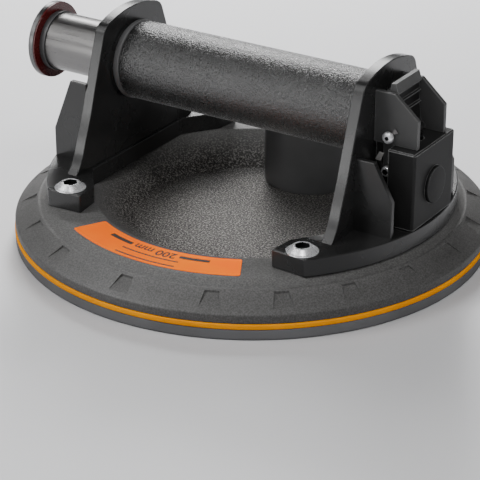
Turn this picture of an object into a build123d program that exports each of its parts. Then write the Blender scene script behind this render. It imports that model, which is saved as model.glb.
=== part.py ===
from build123d import *
import os

os.makedirs("parts", exist_ok=True)

# Vacuum suction lifter: round pad, handle with a hand pump inside, release valve at one end.
# Millimetres. Origin at the middle of the pad on the floor, +X along the handle towards the
# valve block, +Z up. The label side of the disc faces -Y.

# ---- pad and base ----
DISC_R = 100.0            # orange ring, the widest part
LIP_R = 99.8
PAD_TOP = 4.6
CAVITY_TOP = 2.2          # roof of the suction cavity
LIP_INNER_R = 93.0
RIM_R = 99.7
RIM_STEP_R = 95.0
RIM_LOW = 7.0
RIM_TOP = 10.7
SKIRT_TOP_R = 90.0
SKIRT_TOP = 16.9
RING_R = 84.0
RING_TOP = 18.9
RING_INNER_R = 66.2
DISH_R = 50.3
DISH_Z = 6.6
NOTCH_IN_R = 90.7
NOTCH_OUT_R = 97.2
NOTCH_IN_HALF = 2.8       # the pockets widen towards the rim
NOTCH_OUT_HALF = 4.2
NOTCH_FLOOR_IN = 15.4
NOTCH_FLOOR_OUT = 12.2
NOTCH_FIRST = 22.5        # the pockets beside the one on the Y axis, then every NOTCH_STEP
NOTCH_STEP = 16.875
PORT_X = 70.0
PORT_R = 1.6
PORT_PAD_R = 4.0
PORT_RING_R = 3.4         # O-ring round the port, its middle line
PORT_RING_WIRE_R = 0.75
LABEL_IN_R = 68.0
LABEL_OUT_R = 82.4
LABEL_ARC = 58.0
LABEL_T = 0.25

# ---- end brackets ----
FOOT_Z = 26.7
FOOT_R = 86.0
FOOT_OUTLINE = ((58.0, 0.0), (58.0, 33.5), (47.4, 47.5), (45.9, 59.0), (61.8, 60.0))
PLATE_IN = 59.2
PLATE_OUT = 64.0
PLATE_SIDE = ((43.7, 26.7), (40.8, 30.0), (38.6, 34.0), (36.3, 40.0), (32.3, 50.0), (28.35, 62.0),
              (22.85, 78.0))
PLATE_CORNER = (20.2, 85.4)
ARCH_TOP = 89.2
LEFT_SCREW_X = -54.6
RIGHT_SCREW_X = 57.0
SCREW_Y = 54.0
SCREW_HEAD_R = 6.5
SCREW_HEAD_H = 2.4
SCREW_SOCKET_R = 3.3
SCREW_SHANK_R = 2.95
SCREW_SOCKET_Z = 0.4      # socket floor above the foot
SCREW_END_Z = 10.0
GUSSET_T = 2.4
GUSSET_X = 80.7
CHANNEL_X = 62.2          # drilled air passage inside the right plate
CHANNEL_Z = 50.0
CHANNEL_R = 1.1
PASSAGE_R = 1.5           # air passage through the end plug
# name, side, gusset's near face, gusset's top, its top outer corner, height where its slope starts
BRACKETS = (
    ("left_bracket", -1, 29.5, 62.1, 71.7, 39.2),
    ("right_bracket", 1, 26.5, 57.1, 72.3, 41.9),
)

# ---- handle and pump ----
AXIS_Z = 65.75
GRIP_R = 16.6
GRIP_X = -56.0
COLLAR_R = 16.9
COLLAR_STEP_R = 16.0
COLLAR_STEP = 1.1
BARREL_R = 15.0
BORE_R = 14.0
BARREL_END = 60.5         # the barrel sits in a counterbore of the right plate
TUBE_R = 12.4
TUBE_IN_R = 11.4
WIPER_L = 2.4
BUSH_L = 12.0
KNOB_FACE = -100.3        # knob's inner face with the pump out
KNOB_R = 16.6
KNOB_BOSS_R = 14.0
KNOB_T = 2.7
KNOB_BOSS_T = 0.8
KNOB_SPIGOT = 8.0
WASHER_T = 0.7
WASHER_R = 16.5
BUMPER_R = 12.95
BUMPER_L = 2.7
PISTON_BACK = 8.0
PISTON_FRONT = 18.0
PISTON_BORE_R = 9.6
PISTON_SPIGOT = 12.0
PISTON_GROOVE = (11.5, 14.5)
PISTON_GROOVE_R = 11.9
PLUG_FACE = 52.0
PLUG_GROOVE = (55.2, 57.4)
PLUG_GROOVE_R = 12.2
PLUG_RING_R = 13.1
PLUG_RING_WIRE_R = 0.9
ROD_END = 30.0
ROD_R = 6.4
SEAT_FACE = -20.0         # front of the spring seat inside the tube
SEAT_T = 6.0
SEAT_PILOT = 3.0
SEAT_PILOT_R = 7.2
SPRING_R = 8.4
SPRING_WIRE_R = 0.65
SPRING_TURNS = 11

# ---- valve block ----
BLOCK_BOT = 27.1
BLOCK_TOP = 59.5
BLOCK_STEP = 73.0
BLOCK_OUT = 85.0
BLOCK_HALF = 16.5
NECK_HALF = 9.9
CHECK_R = 2.6             # check-ball chamber
CHECK_END = 68.2
CHECK_OUT_R = 1.2
BALL_R = 1.7
FACE_RING_R = 3.9         # O-ring between plate and block, its middle line
FACE_RING_WIRE_R = 0.65
GUARD_HALF = 12.0
GUARD_WALL = 2.0
GUARD_WEB_T = 1.4
GUARD_WEB_TOP = 78.0
GUARD_SIDE = ((64.0, 59.6), (83.3, 59.6), (83.3, 71.6), (72.7, 81.0), (64.0, 81.0))
PIN_X = 70.9
PIN_Z = 62.8
PIN_R = 1.5
PIN_HEAD_R = 2.4
PIN_HEAD_H = 1.9
PIN_SOCKET_R = 1.4
PIN_SOCKET = 1.2
HUB_R = 2.6
LEVER_ARM_HALF = 4.0
LEVER_NOSE_R = 1.6
LEVER_BLADE = ((68.5, 63.3), (69.2, 79.6), (69.8, 84.1), (71.7, 84.2), (73.0, 80.2), (72.0, 79.2),
               (72.0, 76.7), (72.9, 76.1), (72.1, 75.4), (72.2, 71.9), (73.1, 71.3), (72.3, 70.6),
               (73.1, 64.2))
STEM_X = 76.5
STEM_TOP = 61.7
STEM_R = 1.5
STEM_CAP_R = 2.6
STEM_CAP_H = 3.1
STEM_LOW = 37.6
STEM_FLANGE_R = 2.1
STEM_FLANGE_TOP = 39.4
STEM_SEAL_R = 2.3
STEM_SPRING_R = 2.1
STEM_WIRE_R = 0.3
STEM_TURNS = 4
CUP_R = 3.0
CUP_FLOOR = 51.0
CHAMBER_R = 2.8
CHAMBER_TOP = 41.0
CHAMBER_LOW = 31.0
SIDE_PASSAGE_Z = 35.0     # joins the valve chamber to the port
SIDE_SCREW_X = 70.6
SIDE_SCREW_Z = 48.4
SIDE_HEAD_R = 2.2
SIDE_HEAD_H = 1.8
SIDE_SHANK_R = 1.38
SIDE_SHANK_Y = (5.0, 6.0)  # bottom of the tapped hole, end of the shank
SIDE_SOCKET_R = 1.3
SIDE_SOCKET = 1.1
EAR_HALF = 2.3            # half width of the guard's ears
BLOCK_SCREW_X = 79.0
BLOCK_SCREW_Y = 11.5
BLOCK_SCREW_Z = (19.0, 22.6, 37.0, 39.0)  # head, shank, its end, end of the hole
BLOCK_SCREW_R = 1.95
BLOCK_HEAD_R = 3.6
BLOCK_SOCKET_R = 1.7
BLOCK_SOCKET = 1.8
BUTTON_Z = 41.6
BUTTON_R = 7.6
BUTTON_FACE = 86.4
BUTTON_SEAT = 80.2
BUTTON_SKIRT = 82.0       # the cap's hollow skirt and its middle pin start here
BUTTON_PIN = 80.8
BUTTON_HOLLOW_R = 5.2
BUTTON_FACE_T = 1.4
BUTTON_PIN_R = 1.45
BUTTON_SPRING_R = 3.6
BUTTON_WIRE_R = 0.3
BUTTON_TURNS = 4
TAB_T = 0.5
TAB_R = 2.6
TAB_REACH = 4.8
TAB_W = 2.4
SIDE_TAB = ((69.2, 47.0), (65.2, 52.0), (66.9, 55.8), (68.9, 55.4), (67.5, 52.0), (71.6, 50.3))

# ---- vacuum gauge ----
GAUGE_Y = 48.5
GAUGE_R = 20.3
GAUGE_WALL = 2.0
GAUGE_CASE_TOP = 38.0
GAUGE_TOP = 43.0
GAUGE_BORE_R = 3.2
GAUGE_LIP = 3.4           # how far the bezel reaches in over the lens
LENS_Z = (39.6, 41.0)
FITTING_TOP = 14.6
FITTING_R = 1.2           # its bore
MOVEMENT_R = 7.0
DIAL_Z = 36.6
DIAL_T = 0.6
DIAL_RIM = 2.0            # height of the dial's rim and hub below its face
DIAL_RIM_R = 15.5
DIAL_HUB_R = 2.4
SPINDLE_R = 0.6
SPINDLE_L = 12.0
NEEDLE_REST = 225.0       # needle's direction at zero vacuum, degrees from +X
NEEDLE_BLADE = ((-5.0, 1.0), (0.0, 1.3), (13.0, 0.25), (13.0, -0.25), (0.0, -1.3), (-5.0, -1.0))

RUN = 0.05                # running clearance, radial
GAP = 0.4                 # clearance between faces that move past each other

FOUR_SCREWS = [(x, sy * SCREW_Y) for x in (LEFT_SCREW_X, RIGHT_SCREW_X) for sy in (-1, 1)]
ALONG_X = (0, 90, 0)      # turns a Z cylinder to lie along X
ALONG_Y = (90, 0, 0)      # turns a Z cylinder to lie along Y


def round_body(place, length, outer, inner, mode):
    """Round bar, or ring where inner is given, centred on a location."""
    body = Cylinder(outer, length, mode=Mode.PRIVATE)
    if inner:
        body = body - Cylinder(inner, length, mode=Mode.PRIVATE)
    with Locations(place):
        add(body, mode=mode)


def tube_x(x0, x1, outer, inner=0.0, z=AXIS_Z, mode=Mode.ADD):
    """Round bar or tube along X from x0 to x1 on the line y = 0."""
    round_body(Location(((x0 + x1) / 2, 0, z), ALONG_X), abs(x1 - x0), outer, inner, mode)


def disc_z(x, y, z0, z1, outer, inner=0.0, mode=Mode.ADD):
    """Round bar or ring along Z from z0 to z1 round (x, y)."""
    round_body(Location((x, y, (z0 + z1) / 2)), abs(z1 - z0), outer, inner, mode)


def bar_y(x, z, y0, y1, outer, inner=0.0, mode=Mode.ADD):
    """Round bar or ring along Y from y0 to y1 round (x, z)."""
    round_body(Location((x, (y0 + y1) / 2, z), ALONG_Y), abs(y1 - y0), outer, inner, mode)


# ======================================================================
# Pad and base
# ======================================================================

with BuildPart() as rubber_pad:
    with BuildSketch(Plane.XZ):
        with BuildLine():
            Polyline(
                (0, CAVITY_TOP), (LIP_INNER_R, CAVITY_TOP), (LIP_INNER_R + 2.4, 0), (LIP_R - 0.4, 0),
                (LIP_R, 0.8), (LIP_R, PAD_TOP), (0, PAD_TOP), (0, CAVITY_TOP),
            )
        make_face()
    revolve(axis=Axis.Z)
    for rib_r in (30.0, 58.0, 82.0):
        disc_z(0, 0, 1.0, CAVITY_TOP, rib_r + 1.2, rib_r - 1.2)
    disc_z(PORT_X, 0, 0, PAD_TOP, PORT_PAD_R, mode=Mode.SUBTRACT)
    disc_z(0, GAUGE_Y, 0, PAD_TOP, PORT_PAD_R, mode=Mode.SUBTRACT)
rubber_pad.part.label = "rubber_pad"
export_step(rubber_pad.part, "parts/rubber_pad.step")

with BuildPart() as orange_ring:
    disc_z(0, 0, PAD_TOP, RIM_LOW, DISC_R, RIM_STEP_R)
    fillet(orange_ring.edges().filter_by(GeomType.CIRCLE).sort_by(SortBy.RADIUS)[-2:], 0.7)
orange_ring.part.label = "orange_ring"
export_step(orange_ring.part, "parts/orange_ring.step")

# one wedge pocket of the skirt, on the +X axis: deep at the inner end, running out at the rim
with BuildPart() as pocket:
    with BuildSketch(Plane.XZ.offset(-NOTCH_OUT_HALF)):
        with BuildLine():
            Polyline(
                (NOTCH_IN_R, SKIRT_TOP + 2), (NOTCH_IN_R, NOTCH_FLOOR_IN), (NOTCH_OUT_R, NOTCH_FLOOR_OUT),
                (NOTCH_OUT_R, SKIRT_TOP + 2), (NOTCH_IN_R, SKIRT_TOP + 2),
            )
        make_face()
    extrude(amount=2 * NOTCH_OUT_HALF)
    with BuildSketch(Plane.XY.offset(NOTCH_FLOOR_OUT)):
        with BuildLine():
            Polyline(
                (NOTCH_IN_R, -NOTCH_IN_HALF), (NOTCH_OUT_R, -NOTCH_OUT_HALF), (NOTCH_OUT_R, NOTCH_OUT_HALF),
                (NOTCH_IN_R, NOTCH_IN_HALF), (NOTCH_IN_R, -NOTCH_IN_HALF),
            )
        make_face()
    extrude(amount=SKIRT_TOP + 2 - NOTCH_FLOOR_OUT, mode=Mode.INTERSECT)

with BuildPart() as base_plate:
    with BuildSketch(Plane.XZ):
        with BuildLine():
            Polyline(
                (0, PAD_TOP), (RIM_STEP_R, PAD_TOP), (RIM_STEP_R, RIM_LOW), (RIM_R, RIM_LOW),
                (RIM_R, RIM_TOP), (SKIRT_TOP_R, SKIRT_TOP), (SKIRT_TOP_R - 1, SKIRT_TOP),
                (RING_R, RING_TOP), (RING_INNER_R, RING_TOP), (DISH_R, DISH_Z), (0, DISH_Z),
                (0, PAD_TOP),
            )
        make_face()
    revolve(axis=Axis.Z)
    pocket_angles = [NOTCH_FIRST + NOTCH_STEP * k for k in range(9)]
    for angle in [0, 180] + pocket_angles + [-a for a in pocket_angles]:
        with Locations(Location((0, 0, 0), (0, 0, angle - 90))):
            add(pocket.part, mode=Mode.SUBTRACT)
    for x, y in FOUR_SCREWS:
        disc_z(x, y, 9.0, RING_TOP, 3.0, mode=Mode.SUBTRACT)
    disc_z(PORT_X, 0, PAD_TOP, RING_TOP, PORT_R, mode=Mode.SUBTRACT)
    disc_z(PORT_X, 0, RING_TOP - 2 * PORT_RING_WIRE_R, RING_TOP, PORT_RING_R + 1, PORT_RING_R - 1,
           mode=Mode.SUBTRACT)
    disc_z(0, GAUGE_Y, PAD_TOP, DISH_Z, PORT_PAD_R, mode=Mode.SUBTRACT)
    # spot face that lets the gauge stand on the dish's floor beside its sloping wall
    disc_z(0, GAUGE_Y, DISH_Z, RING_TOP, GAUGE_R + GAP, mode=Mode.SUBTRACT)
base_plate.part.label = "base_plate"
export_step(base_plate.part, "parts/base_plate.step")

with BuildPart() as info_label:
    with BuildSketch(Plane.XY.offset(RING_TOP)):
        with BuildLine():
            inner = CenterArc((0, 0), LABEL_IN_R, -90 - LABEL_ARC / 2, LABEL_ARC)
            outer = CenterArc((0, 0), LABEL_OUT_R, -90 - LABEL_ARC / 2, LABEL_ARC)
            Line(inner @ 0, outer @ 0)
            Line(inner @ 1, outer @ 1)
        make_face()
    extrude(amount=LABEL_T)
info_label.part.label = "info_label"
export_step(info_label.part, "parts/info_label.step")

with BuildPart() as port_filter:
    disc_z(PORT_X, 0, PAD_TOP - 2.0, PAD_TOP, PORT_PAD_R)
port_filter.part.label = "port_filter"
export_step(port_filter.part, "parts/port_filter.step")

# O-rings that seal the air passage: base to foot, and right plate to valve block
with BuildPart() as port_seals:
    with Locations((PORT_X, 0, RING_TOP - PORT_RING_WIRE_R)):
        Torus(PORT_RING_R, PORT_RING_WIRE_R)
    with Locations(Location((PLATE_OUT + FACE_RING_WIRE_R, 0, CHANNEL_Z), ALONG_X)):
        Torus(FACE_RING_R, FACE_RING_WIRE_R)
port_seals.part.label = "port_seals"
export_step(port_seals.part, "parts/port_seals.step")

# ======================================================================
# End brackets: foot, arched plate and two outward gussets in one casting
# ======================================================================

for name, side, gusset_y, gusset_top, gusset_x, slope_z in BRACKETS:
    with BuildPart() as bracket:
        # foot, its outer edge concentric with the disc
        with BuildSketch(Plane.XY.offset(RING_TOP)) as foot:
            with BuildLine():
                for end in (-1, 1):
                    Polyline(*[(side * x, end * y) for x, y in FOOT_OUTLINE])
                corner_x, corner_y = FOOT_OUTLINE[-1]
                ThreePointArc((side * corner_x, -corner_y), (side * FOOT_R, 0), (side * corner_x, corner_y))
            make_face()
            fillet(foot.vertices().group_by(Axis.Y)[0] + foot.vertices().group_by(Axis.Y)[-1], 0.8)
        extrude(amount=FOOT_Z - RING_TOP)
        chamfer(bracket.edges().group_by(Axis.Z)[-1], 0.5)
        # arched upright plate, flaring where it meets the foot
        with BuildSketch(Plane.YZ.offset(min(side * PLATE_IN, side * PLATE_OUT))) as plate:
            with BuildLine():
                for end in (-1, 1):
                    edge_points = [(end * y, z) for y, z in PLATE_SIDE]
                    Polyline((0, FOOT_Z - 1), (edge_points[0][0], FOOT_Z - 1), edge_points[0])
                    Spline(*edge_points)
                    Line(edge_points[-1], (end * PLATE_CORNER[0], PLATE_CORNER[1]))
                ThreePointArc((-PLATE_CORNER[0], PLATE_CORNER[1]), (0, ARCH_TOP), PLATE_CORNER)
            make_face()
            fillet(plate.vertices().group_by(Axis.Y)[-1], 5.0)
        extrude(amount=PLATE_OUT - PLATE_IN)
        for end in (-1, 1):
            near = end * gusset_y
            with BuildSketch(Plane.XZ.offset(-max(near, near - end * GUSSET_T))) as gusset:
                with BuildLine():
                    Polyline(
                        (side * PLATE_OUT, FOOT_Z - 1), (side * GUSSET_X, FOOT_Z - 1),
                        (side * GUSSET_X, slope_z), (side * gusset_x, gusset_top),
                        (side * PLATE_OUT, gusset_top), (side * PLATE_OUT, FOOT_Z - 1),
                    )
                make_face()
            extrude(amount=GUSSET_T)
        if side < 0:
            tube_x(-PLATE_OUT, -PLATE_IN, BARREL_R, mode=Mode.SUBTRACT)
        else:
            tube_x(PLATE_IN, BARREL_END, BARREL_R, mode=Mode.SUBTRACT)
            tube_x(BARREL_END, CHANNEL_X, PASSAGE_R, mode=Mode.SUBTRACT)
            disc_z(CHANNEL_X, 0, CHANNEL_Z, AXIS_Z, CHANNEL_R, mode=Mode.SUBTRACT)
            tube_x(CHANNEL_X, PLATE_OUT, CHANNEL_R, z=CHANNEL_Z, mode=Mode.SUBTRACT)
            disc_z(PORT_X, 0, RING_TOP, FOOT_Z, PORT_R, mode=Mode.SUBTRACT)
            for end in (-1, 1):
                disc_z(BLOCK_SCREW_X, end * BLOCK_SCREW_Y, RING_TOP, FOOT_Z, 2.2, mode=Mode.SUBTRACT)
                disc_z(BLOCK_SCREW_X, end * BLOCK_SCREW_Y, RING_TOP, BLOCK_SCREW_Z[1], BLOCK_HEAD_R + 0.2,
                       mode=Mode.SUBTRACT)
        for end in (-1, 1):
            screw_x = LEFT_SCREW_X if side < 0 else RIGHT_SCREW_X
            disc_z(screw_x, end * SCREW_Y, RING_TOP, FOOT_Z, 3.3, mode=Mode.SUBTRACT)
    bracket.part.label = name
    export_step(bracket.part, "parts/" + name + ".step")

# domed hex-socket screws that hold the feet to the disc
with BuildPart() as foot_screws:
    for x, y in FOUR_SCREWS:
        disc_z(x, y, SCREW_END_Z, FOOT_Z, SCREW_SHANK_R)
        with BuildSketch(Plane.XZ.offset(-y)) as head:
            with BuildLine():
                Polyline(
                    (x, FOOT_Z), (x + SCREW_HEAD_R, FOOT_Z), (x + SCREW_HEAD_R, FOOT_Z + 0.4),
                    (x + SCREW_HEAD_R - 0.9, FOOT_Z + 0.5 * SCREW_HEAD_H),
                    (x + SCREW_SOCKET_R + 0.5, FOOT_Z + SCREW_HEAD_H), (x, FOOT_Z + SCREW_HEAD_H),
                    (x, FOOT_Z),
                )
            make_face()
        revolve(axis=Axis((x, y, 0), (0, 0, 1)))
        with BuildSketch(Plane.XY.offset(FOOT_Z + SCREW_SOCKET_Z)):
            with Locations((x, y)):
                RegularPolygon(SCREW_SOCKET_R, 6)
        extrude(amount=SCREW_HEAD_H, mode=Mode.SUBTRACT)
foot_screws.part.label = "foot_screws"
export_step(foot_screws.part, "parts/foot_screws.step")

# ======================================================================
# Handle: grip, pump barrel and the fixed pump parts
# ======================================================================

with BuildPart() as grip_sleeve:
    tube_x(GRIP_X, PLATE_IN, GRIP_R, BARREL_R)
    fillet(grip_sleeve.edges().group_by(Axis.X)[0].sort_by(SortBy.RADIUS)[-1], 1.2)
grip_sleeve.part.label = "grip_sleeve"
export_step(grip_sleeve.part, "parts/grip_sleeve.step")

with BuildPart() as grip_collar:
    tube_x(-PLATE_IN, GRIP_X, COLLAR_STEP_R, BARREL_R)
    tube_x(-PLATE_IN + COLLAR_STEP, GRIP_X, COLLAR_R, BARREL_R)
    fillet(grip_collar.edges().filter_by(GeomType.CIRCLE).sort_by(SortBy.RADIUS)[-2:], 0.4)
grip_collar.part.label = "grip_collar"
export_step(grip_collar.part, "parts/grip_collar.step")

with BuildPart() as pump_barrel:
    tube_x(-PLATE_OUT, BARREL_END, BARREL_R, BORE_R)
pump_barrel.part.label = "pump_barrel"
export_step(pump_barrel.part, "parts/pump_barrel.step")

with BuildPart() as wiper_seal:
    tube_x(-PLATE_OUT, -PLATE_OUT + WIPER_L, BORE_R, TUBE_R + RUN)
wiper_seal.part.label = "wiper_seal"
export_step(wiper_seal.part, "parts/wiper_seal.step")

with BuildPart() as guide_bush:
    tube_x(-PLATE_OUT + WIPER_L, -PLATE_OUT + WIPER_L + BUSH_L, BORE_R, TUBE_R + RUN)
guide_bush.part.label = "guide_bush"
export_step(guide_bush.part, "parts/guide_bush.step")

# plug that closes the barrel, with a rod that guides the spring and an air passage through it
with BuildPart() as end_plug:
    tube_x(PLUG_FACE, BARREL_END, BORE_R)
    tube_x(*PLUG_GROOVE, BORE_R, PLUG_GROOVE_R, mode=Mode.SUBTRACT)
    tube_x(ROD_END, PLUG_FACE, ROD_R)
    chamfer(end_plug.edges().group_by(Axis.X)[0], 1.0)
    tube_x(ROD_END, BARREL_END, PASSAGE_R, mode=Mode.SUBTRACT)
end_plug.part.label = "end_plug"
export_step(end_plug.part, "parts/end_plug.step")

with BuildPart() as plug_seal:
    with Locations(Location((sum(PLUG_GROOVE) / 2, 0, AXIS_Z), ALONG_X)):
        Torus(PLUG_RING_R, PLUG_RING_WIRE_R)
plug_seal.part.label = "plug_seal"
export_step(plug_seal.part, "parts/plug_seal.step")

# ======================================================================
# Plunger: everything that slides with the knob
# ======================================================================

with BuildPart() as plunger_tube:
    tube_x(KNOB_FACE - WASHER_T, PISTON_BACK, TUBE_R, TUBE_IN_R)
plunger_tube.part.label = "plunger_tube"
export_step(plunger_tube.part, "parts/plunger_tube.step")

with BuildPart() as plunger_knob:
    tube_x(KNOB_FACE - WASHER_T - KNOB_T, KNOB_FACE - WASHER_T, KNOB_R)
    chamfer(plunger_knob.edges().group_by(Axis.X)[0], 0.5)
    tube_x(KNOB_FACE - WASHER_T - KNOB_T - KNOB_BOSS_T, KNOB_FACE - WASHER_T - KNOB_T, KNOB_BOSS_R)
    chamfer(plunger_knob.edges().group_by(Axis.X)[0], 0.6)
    tube_x(KNOB_FACE - WASHER_T, KNOB_FACE + KNOB_SPIGOT, TUBE_IN_R)
plunger_knob.part.label = "plunger_knob"
export_step(plunger_knob.part, "parts/plunger_knob.step")

with BuildPart() as knob_washer:
    tube_x(KNOB_FACE - WASHER_T, KNOB_FACE, WASHER_R, TUBE_R)
knob_washer.part.label = "knob_washer"
export_step(knob_washer.part, "parts/knob_washer.step")

with BuildPart() as knob_bumper:
    tube_x(KNOB_FACE, KNOB_FACE + BUMPER_L, BUMPER_R, TUBE_R)
    fillet(knob_bumper.edges().group_by(Axis.X)[-1].sort_by(SortBy.RADIUS)[-1], 0.3)
knob_bumper.part.label = "knob_bumper"
export_step(knob_bumper.part, "parts/knob_bumper.step")

with BuildPart() as spring_seat:
    tube_x(SEAT_FACE - SEAT_T, SEAT_FACE, TUBE_IN_R)
    tube_x(SEAT_FACE, SEAT_FACE + SEAT_PILOT, SEAT_PILOT_R)
spring_seat.part.label = "spring_seat"
export_step(spring_seat.part, "parts/spring_seat.step")

with BuildPart() as piston:
    tube_x(PISTON_BACK, PISTON_FRONT, BORE_R - 0.08, PISTON_BORE_R)
    tube_x(PISTON_BACK - PISTON_SPIGOT, PISTON_BACK, TUBE_IN_R, PISTON_BORE_R)
    tube_x(*PISTON_GROOVE, BORE_R, PISTON_GROOVE_R, mode=Mode.SUBTRACT)
piston.part.label = "piston"
export_step(piston.part, "parts/piston.step")

with BuildPart() as piston_seal:
    tube_x(*PISTON_GROOVE, BORE_R - RUN, PISTON_GROOVE_R)
piston_seal.part.label = "piston_seal"
export_step(piston_seal.part, "parts/piston_seal.step")

# return spring between the seat in the tube and the end plug
with BuildPart() as pump_spring:
    first = SEAT_FACE + SPRING_WIRE_R
    last = PLUG_FACE - SPRING_WIRE_R
    with BuildLine() as coil:
        Helix((last - first) / SPRING_TURNS, last - first, SPRING_R, center=(first, 0, AXIS_Z),
              direction=(1, 0, 0))
    with BuildSketch(Plane(origin=coil.line @ 0, z_dir=coil.line % 0)):
        Circle(SPRING_WIRE_R)
    sweep(is_frenet=True)
pump_spring.part.label = "pump_spring"
export_step(pump_spring.part, "parts/pump_spring.step")

# ======================================================================
# Valve block
# ======================================================================

with BuildPart() as block_gasket:
    with BuildSketch(Plane.XY.offset(FOOT_Z)):
        with Locations(((BLOCK_STEP + BLOCK_OUT) / 2 - 1, 0)):
            Rectangle(BLOCK_OUT - BLOCK_STEP - 3, 2 * BLOCK_HALF - 2)
        with Locations(((PLATE_OUT + BLOCK_STEP) / 2, 0)):
            Rectangle(BLOCK_STEP - PLATE_OUT - 2, 2 * NECK_HALF - 1)
    extrude(amount=BLOCK_BOT - FOOT_Z)
    disc_z(PORT_X, 0, FOOT_Z, BLOCK_BOT, PORT_R, mode=Mode.SUBTRACT)
    for end in (-1, 1):
        disc_z(BLOCK_SCREW_X, end * BLOCK_SCREW_Y, FOOT_Z, BLOCK_BOT, 2.2, mode=Mode.SUBTRACT)
block_gasket.part.label = "block_gasket"
export_step(block_gasket.part, "parts/block_gasket.step")

with BuildPart() as valve_block:
    with BuildSketch(Plane.XY.offset(BLOCK_BOT)) as outline:
        with Locations(((BLOCK_STEP + BLOCK_OUT) / 2, 0)):
            Rectangle(BLOCK_OUT - BLOCK_STEP, 2 * BLOCK_HALF)
        with Locations(((PLATE_OUT + BLOCK_STEP) / 2, 0)):
            Rectangle(BLOCK_STEP - PLATE_OUT, 2 * NECK_HALF)
        fillet(outline.vertices().group_by(Axis.X)[-1], 1.0)
    extrude(amount=BLOCK_TOP - BLOCK_BOT)
    chamfer(valve_block.edges().group_by(Axis.Z)[-1].group_by(Axis.X)[-1], 0.6)
    # check valve chamber, then down to the port in the foot
    tube_x(PLATE_OUT, CHECK_END, CHECK_R, z=CHANNEL_Z, mode=Mode.SUBTRACT)
    tube_x(CHECK_END, PORT_X, CHECK_OUT_R, z=CHANNEL_Z, mode=Mode.SUBTRACT)
    tube_x(PLATE_OUT, PLATE_OUT + 2 * FACE_RING_WIRE_R, FACE_RING_R + 0.7, FACE_RING_R - 0.7, z=CHANNEL_Z,
           mode=Mode.SUBTRACT)
    disc_z(PORT_X, 0, BLOCK_BOT, CHANNEL_Z, PORT_R, mode=Mode.SUBTRACT)
    # release valve: cup for the cap and spring, guide for the stem, chamber with a side passage
    disc_z(STEM_X, 0, CUP_FLOOR, BLOCK_TOP, CUP_R, mode=Mode.SUBTRACT)
    disc_z(STEM_X, 0, CHAMBER_TOP, CUP_FLOOR, STEM_R + RUN, mode=Mode.SUBTRACT)
    disc_z(STEM_X, 0, BLOCK_BOT, CHAMBER_TOP, CHAMBER_R, mode=Mode.SUBTRACT)
    tube_x(PORT_X, STEM_X, CHECK_OUT_R, z=SIDE_PASSAGE_Z, mode=Mode.SUBTRACT)
    # push button bore and its pin hole
    tube_x(BUTTON_SEAT, BLOCK_OUT, BUTTON_R + RUN, z=BUTTON_Z, mode=Mode.SUBTRACT)
    tube_x(STEM_X, BUTTON_SEAT, PASSAGE_R, z=BUTTON_Z, mode=Mode.SUBTRACT)
    for end in (-1, 1):
        disc_z(BLOCK_SCREW_X, end * BLOCK_SCREW_Y, BLOCK_BOT, BLOCK_SCREW_Z[3], BLOCK_SCREW_R + RUN,
               mode=Mode.SUBTRACT)
    bar_y(SIDE_SCREW_X, SIDE_SCREW_Z, -NECK_HALF, -SIDE_SHANK_Y[0], 1.4, mode=Mode.SUBTRACT)
    bar_y(SIDE_SCREW_X, SIDE_SCREW_Z, SIDE_SHANK_Y[0], NECK_HALF, 1.4, mode=Mode.SUBTRACT)
valve_block.part.label = "valve_block"
export_step(valve_block.part, "parts/valve_block.step")

with BuildPart() as chamber_plug:
    disc_z(STEM_X, 0, BLOCK_BOT, CHAMBER_LOW, CHAMBER_R)
chamber_plug.part.label = "chamber_plug"
export_step(chamber_plug.part, "parts/chamber_plug.step")

with BuildPart() as block_screws:
    for end in (-1, 1):
        disc_z(BLOCK_SCREW_X, end * BLOCK_SCREW_Y, *BLOCK_SCREW_Z[0:2], BLOCK_HEAD_R)
        disc_z(BLOCK_SCREW_X, end * BLOCK_SCREW_Y, *BLOCK_SCREW_Z[1:3], BLOCK_SCREW_R)
        with BuildSketch(Plane.XY.offset(BLOCK_SCREW_Z[0])):
            with Locations((BLOCK_SCREW_X, end * BLOCK_SCREW_Y)):
                RegularPolygon(BLOCK_SOCKET_R, 6)
        extrude(amount=BLOCK_SOCKET, mode=Mode.SUBTRACT)
block_screws.part.label = "block_screws"
export_step(block_screws.part, "parts/block_screws.step")

with BuildPart() as check_ball:
    with Locations((PLATE_OUT + BALL_R, 0, CHANNEL_Z)):
        Sphere(BALL_R)
check_ball.part.label = "check_ball"
export_step(check_ball.part, "parts/check_ball.step")

# U-shaped guard round the lever, with an ear each side screwed to the block's neck
with BuildPart() as lever_guard:
    for end in (-1, 1):
        face = max(end * GUARD_HALF, end * (GUARD_HALF - GUARD_WALL))
        with BuildSketch(Plane.XZ.offset(-face)):
            with BuildLine():
                Polyline(*GUARD_SIDE, GUARD_SIDE[0])
            make_face()
            with Locations((SIDE_SCREW_X, (SIDE_SCREW_Z + GUARD_SIDE[0][1]) / 2)):
                Rectangle(2 * EAR_HALF, GUARD_SIDE[0][1] - SIDE_SCREW_Z)
            with Locations((SIDE_SCREW_X, SIDE_SCREW_Z)):
                Circle(EAR_HALF)
                Circle(1.5, mode=Mode.SUBTRACT)
            with Locations((PIN_X, PIN_Z)):
                Circle(PIN_R, mode=Mode.SUBTRACT)
        extrude(amount=GUARD_WALL)
    # web against the bracket's outer face
    with BuildSketch(Plane.YZ.offset(PLATE_OUT)):
        with Locations((0, (GUARD_SIDE[0][1] + GUARD_WEB_TOP) / 2)):
            Rectangle(2 * GUARD_HALF, GUARD_WEB_TOP - GUARD_SIDE[0][1])
    extrude(amount=GUARD_WEB_T)
    upper_edges = lever_guard.edges().filter_by(Axis.Y).filter_by_position(Axis.Z, 70, 82)
    fillet(upper_edges.group_by(Axis.X)[-1], 0.8)
lever_guard.part.label = "lever_guard"
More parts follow.
